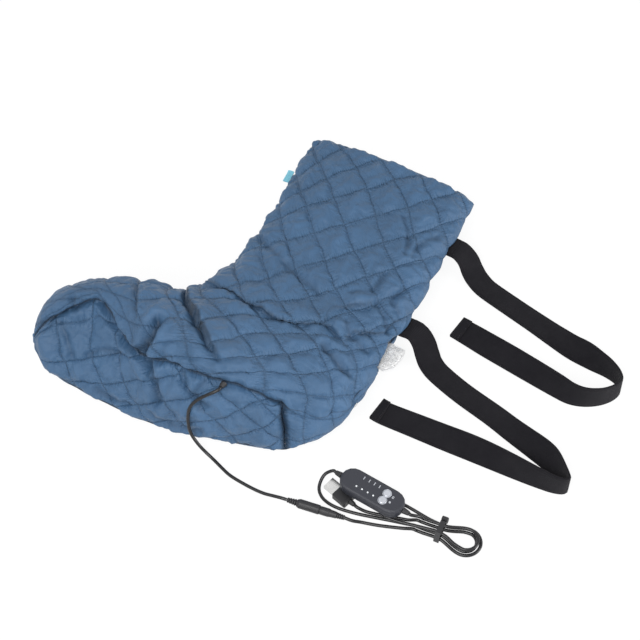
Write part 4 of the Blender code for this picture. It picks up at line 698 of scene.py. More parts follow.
class BootWall:
    """The boot's wall in fine steps: points, directions and the quilting's shape."""

    def __init__(self, steps, sizes):
        self.steps = steps
        self.sizes = sizes
        grid = boot_grid()
        normals = grid_normals(grid)
        self.rows = np.arange(ROWS * steps + 1) / steps
        self.columns = np.arange(COLUMNS * steps) / steps
        closed = np.concatenate([grid, grid[:, :1]], axis=1)
        whole = np.concatenate([grid[:, -1:], grid, grid[:, :2]], axis=1).transpose(1, 0, 2)
        across_whole = curve_table(whole, self.columns + 1)
        parts = []
        for low, high in ((0, UPPER_SEAM), (UPPER_SEAM, LOWER_SEAM), (LOWER_SEAM, COLUMNS)):
            marks = self.columns[(self.columns >= low) & (self.columns < high)]
            parts.append(curve_table(closed[:, low:high + 1].transpose(1, 0, 2), marks - low))
        across_parts = np.concatenate(parts)
        coarse_rows = np.arange(ROWS + 1)
        smooth_share = np.clip((coarse_rows - SOLE_END) / 2.0, 0, 1)
        smooth_share[SLIT_START:] = 0
        near_upper = np.clip(1 - np.abs(self.columns - UPPER_SEAM) / 4, 0, 1)
        whole_share = smooth_share[None, :, None] * near_upper[:, None, None]
        across = across_parts * (1 - whole_share) + across_whole * whole_share
        self.points = curve_table(across.transpose(1, 0, 2), self.rows)
        closed_normals = np.concatenate([normals, normals[:, :1]], axis=1).transpose(1, 0, 2)
        fine = linear_table(closed_normals, self.columns).transpose(1, 0, 2)
        fine = linear_table(fine, self.rows)
        self.normals = fine / np.linalg.norm(fine, axis=2, keepdims=True)
        self.p, self.q = np.meshgrid(self.rows, self.columns, indexing="ij")
        self.settle_seam()
        keep_up(self.points)
        spans = np.linalg.norm(np.roll(grid, -1, axis=1) - np.roll(grid, 1, axis=1), axis=2)
        spans = np.concatenate([spans, spans[:, :1]], axis=1)
        crowd = linear_table(linear_table(spans.T, self.columns).T, self.rows)
        self.crowd = np.minimum(1.0, crowd / QUILT_SPAN) ** 1.5
        self.near_floor = np.clip(self.points[:, :, 2] / STAND_BAND, 0, 1)
        self.half_cell = np.maximum(crowd * 0.5, 0.002)
        self.spots = in_picture(self.points)
        towards = np.array(CAMERA_EYE) - self.points
        seen = np.sum(self.normals * towards, axis=2) / np.linalg.norm(towards, axis=2)
        self.facing = seen > 0
        self.front = np.clip(0.6 + 2.5 * seen, 0, 1)
        self.quilt = self.quilt_numbers()
        self.blown = None
        # painted shade of the creases and folds, filled in by bend and painted into the shell's colour
        self.shade = np.zeros(self.p.shape)

    def settle_seam(self):
        """Slide the wall along itself so that the toe's seam runs where it shows, and let all
        seams waver a little."""
        first, last = (row * self.steps for row in TOE_SEAM_ROWS)
        part = in_picture(self.points[first:last + 1, UPPER_SEAM * self.steps])
        line = smooth_path(TOE_SEAM, 6)
        shares = []
        for path in (part, line):
            reach = reaches(path)
            shares.append(reach / reach[-1])
        slide = np.zeros((*self.p.shape, 2))
        target = np.stack([np.interp(shares[0], shares[1], line[:, axis]) for axis in (0, 1)], axis=1)
        weight = np.exp(-((self.columns - UPPER_SEAM) / 2.8) ** 2)
        slide[first:last + 1] = (target - part)[:, None] * weight[None, :, None]
        wavy = np.array([[[noise.noise(Vector(point) * 75.0 + Vector((0, 0, side))) for side in (0, 9)]
                          for point in row] for row in self.points])
        free = np.clip(self.points[:, :, 2] / 0.02, 0, 1) * np.clip(self.p / 2, 0, 1)
        free *= np.clip((ROWS - self.p) / 2, 0, 1)
        slide += SEAM_WAVER_PIXELS * wavy * free[..., None]
        right = np.array([1.0, 0, 0])
        up = np.array([0, math.sin(CAMERA_RISE), math.cos(CAMERA_RISE)])
        ahead = np.array([0, math.cos(CAMERA_RISE), -math.sin(CAMERA_RISE)])
        pixel = CAMERA_DISTANCE / PICTURE_SCALE
        flat = pixel * (slide[..., :1] * right - slide[..., 1:] * up)
        facing = np.minimum(self.normals @ ahead, -0.4)
        inward = -np.sum(flat * self.normals, axis=2) / facing
        self.points = self.points + flat + inward[..., None] * ahead

    def take_cloth(self, moves, steps):
        """Keep how the simulated cloth moved, carried over to this wall's points."""
        across = curve_table(moves.transpose(1, 0, 2), self.columns[self.columns <= LOWER_SEAM] * steps)
        fine = curve_table(across.transpose(1, 0, 2), self.rows * steps)
        self.blown = np.zeros_like(self.points)
        self.blown[:, :fine.shape[1]] = fine

    def quilt_numbers(self):
        """Two numbers at each point, whole on the stitched lines of the two families."""
        plain = np.stack([(self.p + self.q) / 4, (self.p - self.q) / 4])
        sets = {"upper_flank": plain.copy(), "sole": plain.copy(), "lower_flank": plain}
        on_sole = (self.q >= UPPER_SEAM) & (self.q <= LOWER_SEAM) & (self.p <= SOLE_END)
        on_flank = (self.q <= UPPER_SEAM) | ((self.q <= LOWER_SEAM) & (self.p >= SOLE_END))
        for label, lines, region in (("upper_flank", FLANK_LINES, on_flank),
                                     ("sole", SOLE_LINES, on_sole)):
            numbers = sets[label]
            seen = np.argwhere(region & self.facing)
            spots = self.spots[seen[:, 0], seen[:, 1]]
            for family in (0, 1):
                marks, values = [], []
                for kind, number, line in lines:
                    for point in line if kind == family else ():
                        nearest = seen[np.linalg.norm(spots - point, axis=1).argmin()]
                        marks.append((self.rows[nearest[0]], self.columns[nearest[1]]))
                        values.append(number)
                marks, first = np.unique(np.array(marks), axis=0, return_index=True)
                surface = thin_plate(marks, np.array(values, float)[first], 2.0)
                numbers[family][region] = surface(self.p[region], self.q[region])
        late = np.where(self.q < 1, self.q + COLUMNS, self.q)
        sets["lower_flank"] = np.stack([(self.p + late) / 4, (self.p - late) / 4])
        self.quilt_sets = sets
        on_sole = on_sole & (self.q > UPPER_SEAM) & (self.q < LOWER_SEAM) & (self.p < SOLE_END)
        return np.where(on_sole, sets["sole"], np.where(on_flank, sets["upper_flank"], plain))

    def seam_distance(self):
        """Distance to the nearest sewn seam or open edge, in metres."""
        nearest = np.minimum(np.minimum(self.q, COLUMNS - self.q), np.abs(self.q - LOWER_SEAM))
        upper = np.abs(self.q - UPPER_SEAM)
        has_upper = (self.p <= SOLE_END) | (self.p >= SLIT_START)
        nearest = np.where(has_upper, np.minimum(nearest, upper), nearest)
        across = nearest * self.half_cell
        steps = np.linalg.norm(np.diff(self.points, axis=0), axis=2) * self.steps
        along_step = np.concatenate([steps, steps[-1:]])
        end = np.minimum(self.p, ROWS - self.p) * along_step
        on_sole = (self.q >= UPPER_SEAM) & (self.q <= LOWER_SEAM)
        heel = np.where(on_sole, np.abs(self.p - SOLE_END) * along_step, 1.0)
        return np.minimum(np.minimum(across, end), heel)

    def lift(self):
        """How far the outer face stands off the loft at every point."""
        sizes = self.sizes
        cushions = np.abs(np.sin(math.pi * self.quilt[0])) * np.abs(np.sin(math.pi * self.quilt[1]))
        height = sizes.puff * cushions ** sizes.valley * self.crowd * self.near_floor
        if self.blown is not None:
            height *= np.where(self.q > LOWER_SEAM, 1.0, 0.62)
            lines = np.minimum(*[np.abs(n - np.round(n)) for n in self.quilt])
            height -= sizes.stitch_sink * np.exp(-(lines / 0.05) ** 2) * self.crowd * (self.q <= LOWER_SEAM)
        distance = self.seam_distance()
        edge = np.clip(1 - distance / sizes.roll_width, 0, 1)
        height *= 1 - edge ** 2
        by_seam = (np.abs(self.q - UPPER_SEAM) < 3) | (np.abs(self.q - LOWER_SEAM) < 3)
        open_edge = (self.p > SLIT_START) & by_seam
        roll = np.where(open_edge, 0.55 * sizes.roll, sizes.roll)
        height -= roll * edge ** 2 * np.clip(self.near_floor + 0.3, 0, 1)
        return height

    def bend(self, outside=True):
        """Bend the whole wall at its creases and folds: lips stand up and over, undercuts
        go in. The lining's wall only goes in, a little wider."""
        moves = np.zeros_like(self.points)
        facing = self.front * ((self.q < LOWER_SEAM + 1) | (self.q > COLUMNS - 3))
        inside = np.clip(self.seam_distance() / CREASE_FADE, 0.2, 1)
        for depth, width, line in CREASES:
            r = line_distance(self.spots, smooth_path(line, 4)) / width
            dent = np.exp(-r * r) - 0.35 * np.exp(-((r - 2.2) ** 2))
            # painted shade: the crease's core darkening, kept in the wall's shade map
            painted_shade = min(1.0, depth / DARK_CREASE) * np.exp(-(r / 0.66) ** 2)
            self.shade = np.maximum(self.shade, facing * painted_shade)
            if not outside:
                dent = 1.35 * np.exp(-(r / 1.5) ** 2)
            moves -= self.normals * (facing * depth * dent * inside)[..., None]
        for lip, undercut, overlap, width, line in FOLDS:
            gap, along, across = fold_place(self.spots, smooth_path(line, 4))
            fade = facing * np.clip(np.sin(math.pi * np.clip(along, 0, 1)), 0, 1) ** 0.5
            snap = np.where((np.abs(gap) < 1.25) & (fade > 0.2), gap, 0)
            over = (gap >= 0) | (snap != 0)
            x = np.where(snap != 0, 0, np.abs(gap)) / width
            raised = lip * (1 - 0.6 * np.exp(-(x * 4) ** 2)) * np.exp(-(x / 1.6) ** 2)
            up = np.where(over, raised, -undercut * np.exp(-(x / 0.9) ** 1.6))
            beyond = np.where(over, overlap * np.exp(-(x / 1.2) ** 2), 0)
            # painted shade: darkening along the fold's line and in its undercut, kept in the wall's shade map
            painted_shade = np.where(over, np.exp(-(x * width / 1.0) ** 2), np.exp(-(x / 0.5) ** 2))
            self.shade = np.maximum(self.shade, fade * min(1.0, undercut / DARK_UNDERCUT) * painted_shade)
            if not outside:
                inward = fade * (undercut + LINING_UNDERCUT) * np.exp(-(gap / width / 1.5) ** 2)
                moves -= self.normals * inward[..., None]
                continue
            moves += self.normals * (fade * up)[..., None]
            level = across[..., 1] / math.sin(CAMERA_RISE)
            way = np.stack([-across[..., 0], level, np.zeros(x.shape)], axis=-1)
            moves += way * (fade * beyond + snap * 0.001)[..., None]
        self.points = self.points + moves + self.back_edge(outside)
        keep_up(self.points)

    def back_edge(self, outside):
        """How the open back edge lies: the upper flank's cushions reach over the lower one's."""
        outward = np.array([math.sin(LEG_ANGLE), -math.cos(LEG_ANGLE), 0.0])
        open_share = np.clip((self.p - SLIT_START) / 3, 0, 1)
        waves = np.abs(np.sin(math.pi * self.quilt[0]) * np.sin(math.pi * self.quilt[1])) ** 0.5
        waves *= np.clip((self.p - SLIT_START - 4) / 2, 0, 1) * np.clip((ROWS - self.p) / 1.5, 0, 1)
        notch = OPEN_EDGE_NOTCH * np.exp(-((self.p - SLIT_START - 2.3) / 1.4) ** 2)
        above = open_share * (self.q <= UPPER_SEAM) * np.clip(1 - (UPPER_SEAM - self.q) / 2.5, 0, 1) ** 2
        below = open_share * (self.q >= LOWER_SEAM) * np.clip(1 - (self.q - LOWER_SEAM) / 2.5, 0, 1) ** 2
        reach = above * (OPEN_EDGE_REACH - notch + (OPEN_EDGE_WAVE * waves if outside else 0))
        reach = reach - UNDER_EDGE_RETREAT * below
        return reach[..., None] * outward - above[..., None] * np.array([0, 0, OPEN_EDGE_DROP])

    def outer_face(self):
        """The outer face's points, kept on or above the floor."""
        points = self.points + self.normals * self.lift()[..., None]
        if self.blown is not None:
            points += self.blown * self.sizes.cloth_share
        keep_up(points)
        return points

    def depth(self, plain, pinched, pocket=0.0):
        """Depth of an inner face under the loft, pinched thin at the seams."""
        seams = np.array([0, UPPER_SEAM, LOWER_SEAM, COLUMNS])
        nearest = np.abs(self.q[..., None] - seams).min(axis=2)
        share = np.interp(nearest, range(len(PINCH_SHARES) + 1), [*PINCH_SHARES, 1.0])
        beyond = np.zeros_like(self.q)
        for value, (first, last) in ((self.p, HEATER_ALONG), (self.q, HEATER_ACROSS)):
            beyond = np.maximum(beyond, np.maximum(2 * first - value, value - 2 * last))
        return plain + pinched * share + pocket * np.clip(1 - 0.5 * beyond, 0, 1)

    def cell_mask(self, region):
        """Which fine squares belong to a region, a list of boxes of half cells."""
        rows, columns = len(self.rows) - 1, len(self.columns)
        mask = np.zeros((rows, columns), bool)
        n = self.steps
        for (p0, p1), (q0, q1) in region:
            mask[p0 * n:p1 * n, q0 * n:q1 * n] = True
        return mask

    def corners(self, region):
        """Places of the four corners of every fine square that belongs to a region."""
        mask = self.cell_mask(region)
        a, b = np.nonzero(mask)
        right = (b + 1) % mask.shape[1]
        return (a, b), (a + 1, b), (a + 1, right), (a, right)

    def panel(self, name, region, outer, inner, inset=SEAM_GAP):
        """A closed layer over a region between two surfaces of points, its rim drawn in."""
        corners = self.corners(region)
        used = np.zeros(self.p.shape, bool)
        touch = np.zeros(self.p.shape, int)
        pull = np.zeros(self.points.shape)
        centre = sum(self.points[c] for c in corners) / 4
        for c in corners:
            used[c] = True
            np.add.at(touch, c, 1)
            np.add.at(pull, c, centre - self.points[c])
        border = used & (touch < 4)
        length = np.maximum(np.linalg.norm(pull, axis=2, keepdims=True), 1e-9)
        shift = np.where(border[..., None], pull / length * inset, 0)
        index = np.full(self.p.shape, -1)
        index[used] = np.arange(used.sum())
        count = int(used.sum())
        vertices = np.concatenate([(outer + shift)[used], (inner + shift)[used]])
        quads = np.stack([index[c] for c in corners], axis=1)
        faces = np.concatenate([quads[:, ::-1], quads + count])
        edges = {}
        for quad in quads:
            for i in range(4):
                u, v = int(quad[i]), int(quad[(i + 1) % 4])
                if (v, u) in edges:
                    del edges[(v, u)]
                else:
                    edges[(u, v)] = True
        rim = [[v, u, u + count, v + count] for u, v in edges]
        label = next((key for key in self.quilt_sets if name.startswith(key)), "sole")
        first, second = self.quilt_sets[label][:, used]
        uv = np.stack([0.5 * (first + second), 0.5 * (first - second)], axis=1)
        everything = [list(map(int, face)) for face in faces] + [r[::-1] for r in rim]
        seams = self.seam_places()[used]
        gathered = 0.35 + 0.65 * np.exp(-((self.p[used] - PINCH_ROW) / 1.8) ** 2)
        # shade map: the painted shade of creases and undercuts, then how strongly the seam gathers
        shade = np.stack([self.shade[used], gathered], axis=1)
        uv, seams, shade = (np.concatenate([layer, layer]) for layer in (uv, seams, shade))
        return mesh_from(name, vertices, everything, uv, seam=seams, shade=shade)

    def seam_places(self):
        """Places along the sole's seam and away from it, in centimetres."""
        n = self.steps
        places = np.zeros((*self.p.shape, 2))
        places[..., 0] = 100 * reaches(self.points[:, UPPER_SEAM * n])[:, None]
        gap = np.min([np.linalg.norm(self.points - self.points[:, [q * n]], axis=2)
                      for q in (UPPER_SEAM, LOWER_SEAM)], axis=0)
        heel = np.abs(self.p - SOLE_END) * HEEL_CELL
        across = (self.q > UPPER_SEAM) & (self.q < LOWER_SEAM)
        beyond = np.maximum(self.p - SOLE_END, 0) * HEEL_CELL
        at_heel = across & (heel < gap)
        gap = np.where(at_heel, heel, np.hypot(gap, np.where(across & (self.p > SOLE_END), 0, beyond)))
        places[..., 0] = np.where(at_heel, 100 * (self.q - UPPER_SEAM) * self.half_cell, places[..., 0])
        places[..., 1] = 100 * gap
        return places


def stitched_lines(wall, label, region, face):
    """A mesh of edges along the quilting's stitched lines on a face of the wall."""
    corners = wall.corners(region)
    spots, edges, known = [], [], {}
    fine = wall.seam_distance() > STITCH_END_GAP
    for family, numbers in enumerate(wall.quilt_sets[label]):
        values = np.stack([numbers[c] for c in corners], axis=1)
        low, high = values.min(axis=1), values.max(axis=1)
        cross = (np.floor(low) != np.floor(high)) & (high - low < 0.6)
        cross &= np.all([fine[c] for c in corners], axis=0)
        for k in np.nonzero(cross)[0]:
            level = math.floor(high[k])
            ends = []
            for i in range(4):
                j = (i + 1) % 4
                first, second = values[k, i] - level, values[k, j] - level
                if (first < 0) == (second < 0):
                    continue
                pair = [tuple(int(values_of[k]) for values_of in corners[end]) for end in (i, j)]
                key = (family, level, *sorted(pair))
                if key not in known:
                    t = first / (first - second)
                    known[key] = len(spots)
                    spots.append(face[pair[0]] * (1 - t) + face[pair[1]] * t)
                ends.append(known[key])
            if len(ends) == 2:
                edges.append(ends)
    mesh = bpy.data.meshes.new(label + "_lines")
    mesh.from_pydata([tuple(spot) for spot in spots], edges, [])
    return mesh


CLOTH_SETTINGS = {
    "quality": 5, "mass": 0.15, "tension_stiffness": 15.0, "compression_stiffness": 15.0,
    "shear_stiffness": 5.0, "bending_stiffness": 0.25, "use_pressure": True,
    "uniform_pressure_force": 4.0, "vertex_group_mass": "held",
}


def sewn_cloth(sizes):
    """How the cloth moves when it is held at its stitches and its filling blows it up."""
    wall = BootWall(sizes.cloth_steps, sizes)
    keep = LOWER_SEAM * sizes.cloth_steps + 1
    start = wall.points[:, :keep].reshape(-1, 3)
    shape = wall.points[:, :keep].shape
    out = wall.normals[:, :keep].reshape(-1, 3)
    uneven = np.array([[noise.noise(Vector(point) * 140.0),
                        noise.noise(Vector(point) * 95.0 + Vector((7, 0, 0)))] for point in start])
    rough = start + out * (0.0006 * uneven[:, :1]) + np.roll(out, 1, axis=1) * (0.0003 * uneven[:, 1:])
    index = np.arange(len(start)).reshape(shape[:2])
    p, q = np.meshgrid(np.arange(shape[0] - 1), np.arange(shape[1] - 1), indexing="ij")
    inside = ~((p >= SLIT_START * sizes.cloth_steps) & (q >= UPPER_SEAM * sizes.cloth_steps))
    p, q = p[inside], q[inside]
    quads = np.stack([index[p, q], index[p + 1, q], index[p + 1, q + 1], index[p, q + 1]], axis=1)
    middle = quads[len(quads) // 2]
    face = np.cross(start[middle[2]] - start[middle[0]], start[middle[3]] - start[middle[1]])
    if face @ out[middle[0]] < 0:
        quads = quads[:, ::-1]
    mesh = bpy.data.meshes.new("sewn_cloth")
    mesh.from_pydata(rough.tolist(), [], quads.tolist())
    thing = linked("sewn_cloth", mesh)
    held = np.zeros(wall.p.shape, bool)
    for numbers in wall.quilt:
        change = np.hypot(*np.gradient(numbers))
        held |= np.abs(numbers - np.round(numbers)) < 0.5 * change
    held |= (wall.seam_distance() < HELD_BAND) | (wall.near_floor < 0.5) | (wall.p <= 1.0)
    held = held[:, :keep].reshape(-1)
    group = thing.vertex_groups.new(name="held")
    group.add(np.nonzero(held)[0].tolist(), 1.0, "REPLACE")
    cloth = thing.modifiers.new("cloth", "CLOTH")
    for key, value in CLOTH_SETTINGS.items():
        setattr(cloth.settings, key, value)
    cloth.settings.shrink_min = -sizes.cloth_spare
    cloth.settings.effector_weights.gravity = 0.0
    cloth.point_cache.frame_start = 1
    cloth.point_cache.frame_end = sizes.cloth_frames
    scene = bpy.context.scene
    for number in range(1, sizes.cloth_frames + 1):
        scene.frame_set(number)
    result = thing.evaluated_get(bpy.context.evaluated_depsgraph_get())
    end = np.zeros(len(start) * 3, np.float32)
    result.data.vertices.foreach_get("co", end)
    bpy.data.objects.remove(thing)
    bpy.data.meshes.remove(mesh)
    scene.frame_set(1)
    moves = end.reshape(-1, 3) - start
    length = np.linalg.norm(moves, axis=1, keepdims=True)
    moves *= np.minimum(1.0, sizes.cloth_reach / np.maximum(length, 1e-9))
    inward = np.minimum(0, np.sum(moves * out, axis=1, keepdims=True) + CLOTH_INWARD)
    moves -= out * inward
    moves[held] = 0
    freedom = (wall.crowd * wall.near_floor)[:, :keep].reshape(-1, 1)
    return (moves * np.clip(1.6 * freedom, 0, 1)).reshape(shape)


def flank_regions():
    """The half cells of the upper flank with the heel, the sole and the lower flank."""
    upper = [((0, ROWS), (0, UPPER_SEAM)), ((SOLE_END, SLIT_START), (UPPER_SEAM, LOWER_SEAM))]
    sole = [((0, SOLE_END), (UPPER_SEAM, LOWER_SEAM))]
    lower = [((0, ROWS), (LOWER_SEAM, COLUMNS))]
    return {"upper_flank": upper, "sole": sole, "lower_flank": lower}


# Nodes: values, trees and groups


class Value:
    """What a node gives; arithmetic on it makes math nodes."""

    def __init__(self, socket):
        self.socket = socket

    def __add__(self, other):
        return calc("ADD", self, other)

    def __sub__(self, other):
        return calc("SUBTRACT", self, other)

    def __rsub__(self, other):
        return calc("SUBTRACT", other, self)

    def __mul__(self, other):
        return calc("MULTIPLY", self, other)

    def __pow__(self, power):
        return calc("POWER", self, power)

    def __abs__(self):
        return calc("ABSOLUTE", self)


def put(socket, value):
    """Set an input to a plain value, or link it to a socket or to a node's first output."""
    if isinstance(value, Value):
        value = value.socket
    if isinstance(value, bpy.types.Node):
        value = value.outputs[0]
    if isinstance(value, bpy.types.NodeSocket):
        socket.id_data.links.new(value, socket)
    else:
        socket.default_value = value


def node(tree, kind, inputs=None, **settings):
    """A node with its settings and its inputs."""
    made = tree.nodes.new(kind)
    for key, value in settings.items():
        setattr(made, key, value)
    for key, value in (inputs or {}).items():
        put(made.inputs[key], value)
    return made


def calc(operation, *values):
    """The result of a math node."""
    tree = next(value for value in values if isinstance(value, Value)).socket.id_data
    made = node(tree, "ShaderNodeMath", dict(enumerate(values)), operation=operation)
    return Value(made.outputs[0])


def span(value, low, high, start=0.0, end=1.0):
    """A value carried from one range to another and held inside it."""
    limits = {"From Min": low, "From Max": high, "To Min": start, "To Max": end}
    made = node(value.socket.id_data, "ShaderNodeMapRange", {"Value": value, **limits})
    return Value(made.outputs["Result"])


def split(vector):
    """The first two numbers of a vector."""
    made = node(vector.socket.id_data, "ShaderNodeSeparateXYZ", {"Vector": vector})
    return Value(made.outputs["X"]), Value(made.outputs["Y"])


def flat(x, y):
    """A vector of two numbers."""
    return Value(node(x.socket.id_data, "ShaderNodeCombineXYZ", {"X": x, "Y": y}).outputs[0])


def clouds(vector, scale, detail, roughness=0.5, distortion=0.0):
    """Noise over the places that a vector gives."""
    inputs = {"Vector": vector, "Scale": scale, "Detail": detail, "Roughness": roughness,
              "Distortion": distortion}
    return Value(node(vector.socket.id_data, "ShaderNodeTexNoise", inputs).outputs["Fac"])


def new_group(family, name, inputs, outputs):
    """An empty node tree, the sockets that it is given and those that it gives; inputs are
    name, kind and value."""
    tree = bpy.data.node_groups.new(name, family)
    for label, kind, value in inputs:
        socket = tree.interface.new_socket(label, in_out="INPUT", socket_type="NodeSocket" + kind)
        if value is not None:
            socket.default_value = value
    for label, kind in outputs:
        tree.interface.new_socket(label, in_out="OUTPUT", socket_type="NodeSocket" + kind)
    return tree, tree.nodes.new("NodeGroupInput").outputs, tree.nodes.new("NodeGroupOutput").inputs


# Geometry Nodes


def plain_mesh(thing):
    """A plain mesh of an object as its modifiers leave it; the object goes."""
    graph = bpy.context.evaluated_depsgraph_get()
    result = bpy.data.meshes.new_from_object(thing.evaluated_get(graph))
    bpy.data.objects.remove(thing)
    return result


def grown(name, mesh, tree, values):
    """A plain mesh from a Geometry Nodes tree run on a mesh."""
    seed = linked(name + "_seed", mesh)
    modifier = seed.modifiers.new("grown", "NODES")
    modifier.node_group = tree
    for item in tree.interface.items_tree:
        if item.item_type == "SOCKET" and item.in_out == "INPUT" and item.name in values:
            modifier[item.identifier] = values[item.name]
    result = plain_mesh(seed)
    result.name = name
    return result


def stitches_tree():
    """Stitches of round thread along the edges of a mesh."""
    if "Stitches" in bpy.data.node_groups:
        return bpy.data.node_groups["Stitches"]
    tree, given, end = new_group("GeometryNodeTree", "Stitches", [
        ("Geometry", "Geometry", None), ("Pitch", "Float", 0.0034), ("Length", "Float", 0.0024),
        ("Thread", "Float", 0.0005), ("Material", "Material", None)], [("Geometry", "Geometry")])
    line = node(tree, "GeometryNodeMeshToCurve", {"Mesh": given["Geometry"]})
    even = node(tree, "GeometryNodeResampleCurve",
                {"Curve": line, "Length": given["Pitch"]}, mode="LENGTH")
    bead = node(tree, "GeometryNodeMeshUVSphere", {"Segments": 5, "Rings": 4, "Radius": 0.5})
    thick, long = given["Thread"], given["Length"]
    size = node(tree, "ShaderNodeCombineXYZ", {"X": thick, "Y": thick, "Z": long})
    thread = node(tree, "GeometryNodeTransform", {"Geometry": bead, "Scale": size})
    way = node(tree, "GeometryNodeInputTangent")
    turn = node(tree, "FunctionNodeAlignRotationToVector", {"Vector": way}, axis="Z")
    placed = node(tree, "GeometryNodeInstanceOnPoints",
                  {"Points": even, "Instance": thread, "Rotation": turn})
    real = node(tree, "GeometryNodeRealizeInstances", {"Geometry": placed})
    done = node(tree, "GeometryNodeSetMaterial", {"Geometry": real, "Material": given["Material"]})
    put(end["Geometry"], done)
    return tree


def pile_tree():
    """Short fibres that stand on a mesh in all directions."""
    tree, given, end = new_group("GeometryNodeTree", "Pile", [
        ("Geometry", "Geometry", None), ("Density", "Float", 1500000.0), ("Length", "Float", 0.0024),
        ("Thickness", "Float", 0.00022), ("Seed", "Int", 4), ("Material", "Material", None)],
        [("Geometry", "Geometry")])
    spread = node(tree, "GeometryNodeDistributePointsOnFaces",
                  {"Mesh": given["Geometry"], "Density": given["Density"], "Seed": given["Seed"]})
    fibre = node(tree, "GeometryNodeMeshCone", {
        "Vertices": 3, "Radius Top": 0.00005, "Radius Bottom": given["Thickness"], "Depth": given["Length"]})
    tilt = node(tree, "FunctionNodeRandomValue", {
        "Min": (-0.8, -0.8, -3.0), "Max": (0.8, 0.8, 3.0), "Seed": given["Seed"]}, data_type="FLOAT_VECTOR")
    angle = node(tree, "FunctionNodeEulerToRotation", {"Euler": tilt})
    turn = node(tree, "FunctionNodeRotateRotation",
                {"Rotation": spread.outputs["Rotation"], "Rotate By": angle}, rotation_space="LOCAL")
    placed = node(tree, "GeometryNodeInstanceOnPoints",
                  {"Points": spread.outputs["Points"], "Instance": fibre, "Rotation": turn})
    real = node(tree, "GeometryNodeRealizeInstances", {"Geometry": placed})
    both = node(tree, "GeometryNodeJoinGeometry", {"Geometry": real})
    put(both.inputs[0], given["Geometry"])
    done = node(tree, "GeometryNodeSetMaterial", {"Geometry": both, "Material": given["Material"]})
    put(end["Geometry"], done)
    return tree


def softened(name, source, voxel, ripple, fineness):
    """A copy of a frame node's form, remeshed evenly, smoothed and rippled as cloth."""
    work = bmesh.new()
    work.from_mesh(frame_object(source).data)
    bmesh.ops.remove_doubles(work, verts=work.verts, dist=1e-6)
    bmesh.ops.recalc_face_normals(work, faces=work.faces)
    mesh = bpy.data.meshes.new(name + "_form")
    work.to_mesh(mesh)
    work.free()
    form = linked(name + "_form", mesh)
    remesh = form.modifiers.new("remesh", "REMESH")
    remesh.mode = "VOXEL"
    remesh.voxel_size = voxel
    form.modifiers.new("smooth", "SMOOTH").iterations = 3
    result = plain_mesh(form)
    normals = [vertex.normal.copy() for vertex in result.vertices]
    for vertex, normal in zip(result.vertices, normals):
        vertex.co += normal * (ripple * (0.4 + noise.noise(vertex.co * fineness)))
    maps = {"cloth": lambda place: (place.x * 12 + 0.3, (place.y + place.z) * 12 + 0.6),
            "seam": lambda place: (0.5, 9.0), "shade": lambda place: (0.0, 0.0)}
    for label, spot in maps.items():
        layer = result.uv_layers.new(name=label)
        for loop in result.loops:
            layer.data[loop.index].uv = spot(result.vertices[loop.vertex_index].co)
    result.uv_layers.active_index = 0
    result.materials.clear()
    result.name = name
    result.shade_smooth()
    return result


# Finishes


def mottle_group():
    """Soft cloudy variation, with a finer grain beside it."""
    tree, given, end = new_group("ShaderNodeTree", "Mottle", [
        ("Vector", "Vector", None), ("Scale", "Float", 20.0), ("Grain Scale", "Float", 900.0)],
        [("Cloud", "Float"), ("Grain", "Float")])
    place = Value(given["Vector"])
    put(end["Cloud"], clouds(place, given["Scale"], 4.0, 0.6))
    put(end["Grain"], clouds(place, given["Grain Scale"], 2.0, 0.6))


def weave_group():
    """Plain weave: warp and weft threads that pass over each other."""
    tree, given, end = new_group("ShaderNodeTree", "Weave", [
        ("Vector", "Vector", None), ("Warp", "Float", 1.0), ("Weft", "Float", 1.0)],
        [("Height", "Float"), ("Tone", "Float")])
    x, y = split(Value(given["Vector"]))
    warp = calc("SINE", x * given["Warp"] * (2 * math.pi))
    weft = calc("SINE", y * given["Weft"] * (2 * math.pi))
    put(end["Height"], warp * weft * 0.5 + 0.5)
    put(end["Tone"], abs(warp) * 0.5 + abs(weft) * 0.5)


def quilting_group():
    """Masks of the quilting's valleys and the small puckers that its thread pulls."""
    tree, given, end = new_group("ShaderNodeTree", "Quilting", [
        ("Vector", "Vector", None), ("Width", "Float", 0.05)], [("Valley", "Float"), ("Pucker", "Float")])
    x, y = split(Value(given["Vector"]))
    total, difference = x + y, x - y
    valleys, puckers = [], []
    for across, along in ((total, difference), (difference, total)):
        gap = abs(across - calc("ROUND", across))
        valleys.append(1.0 - span(gap, 0.0, given["Width"]))
        folds = clouds(flat(along * 15.0, across * 3.0), 1.0, 2.0)
        puckers.append((folds - 0.5) * (1.0 - span(gap, 0.0, 0.34)) ** 2.0)
    put(end["Valley"], calc("MAXIMUM", *valleys))
    put(end["Pucker"], puckers[0] + puckers[1])


def grouped(tree, group, inputs):
    """What a shared group gives in a material, with the material's own values."""
    made = node(tree, "ShaderNodeGroup", inputs, node_tree=bpy.data.node_groups[group])
    return [Value(socket) for socket in made.outputs]


def mottled(tree, scale, grain_scale):
    """Clouds and a finer grain over the object."""
    return grouped(tree, "Mottle", {"Vector": object_place(tree), "Scale": scale, "Grain Scale": grain_scale})


def uv_map(tree, name):
    """Places in one of the mesh's UV maps."""
    return Value(node(tree, "ShaderNodeUVMap", uv_map=name).outputs["UV"])


def object_place(tree):
    """Places in the object's own frame."""
    return Value(node(tree, "ShaderNodeTexCoord").outputs["Object"])


def shaded(colour, share):
    """A colour made darker or lighter."""
    return (*[min(1.0, c * share) for c in colour], 1.0)


def blended(factor, first, second):
    """Two colours mixed by a factor."""
    made = node(factor.socket.id_data, "ShaderNodeMix", {0: factor, 6: first, 7: second}, data_type="RGBA")
    return Value(made.outputs[2])


def tinted(colour, factor, low, high):
    """A colour made darker and lighter by a factor from nought to one."""
    return blended(factor, shaded(colour, low), shaded(colour, high))


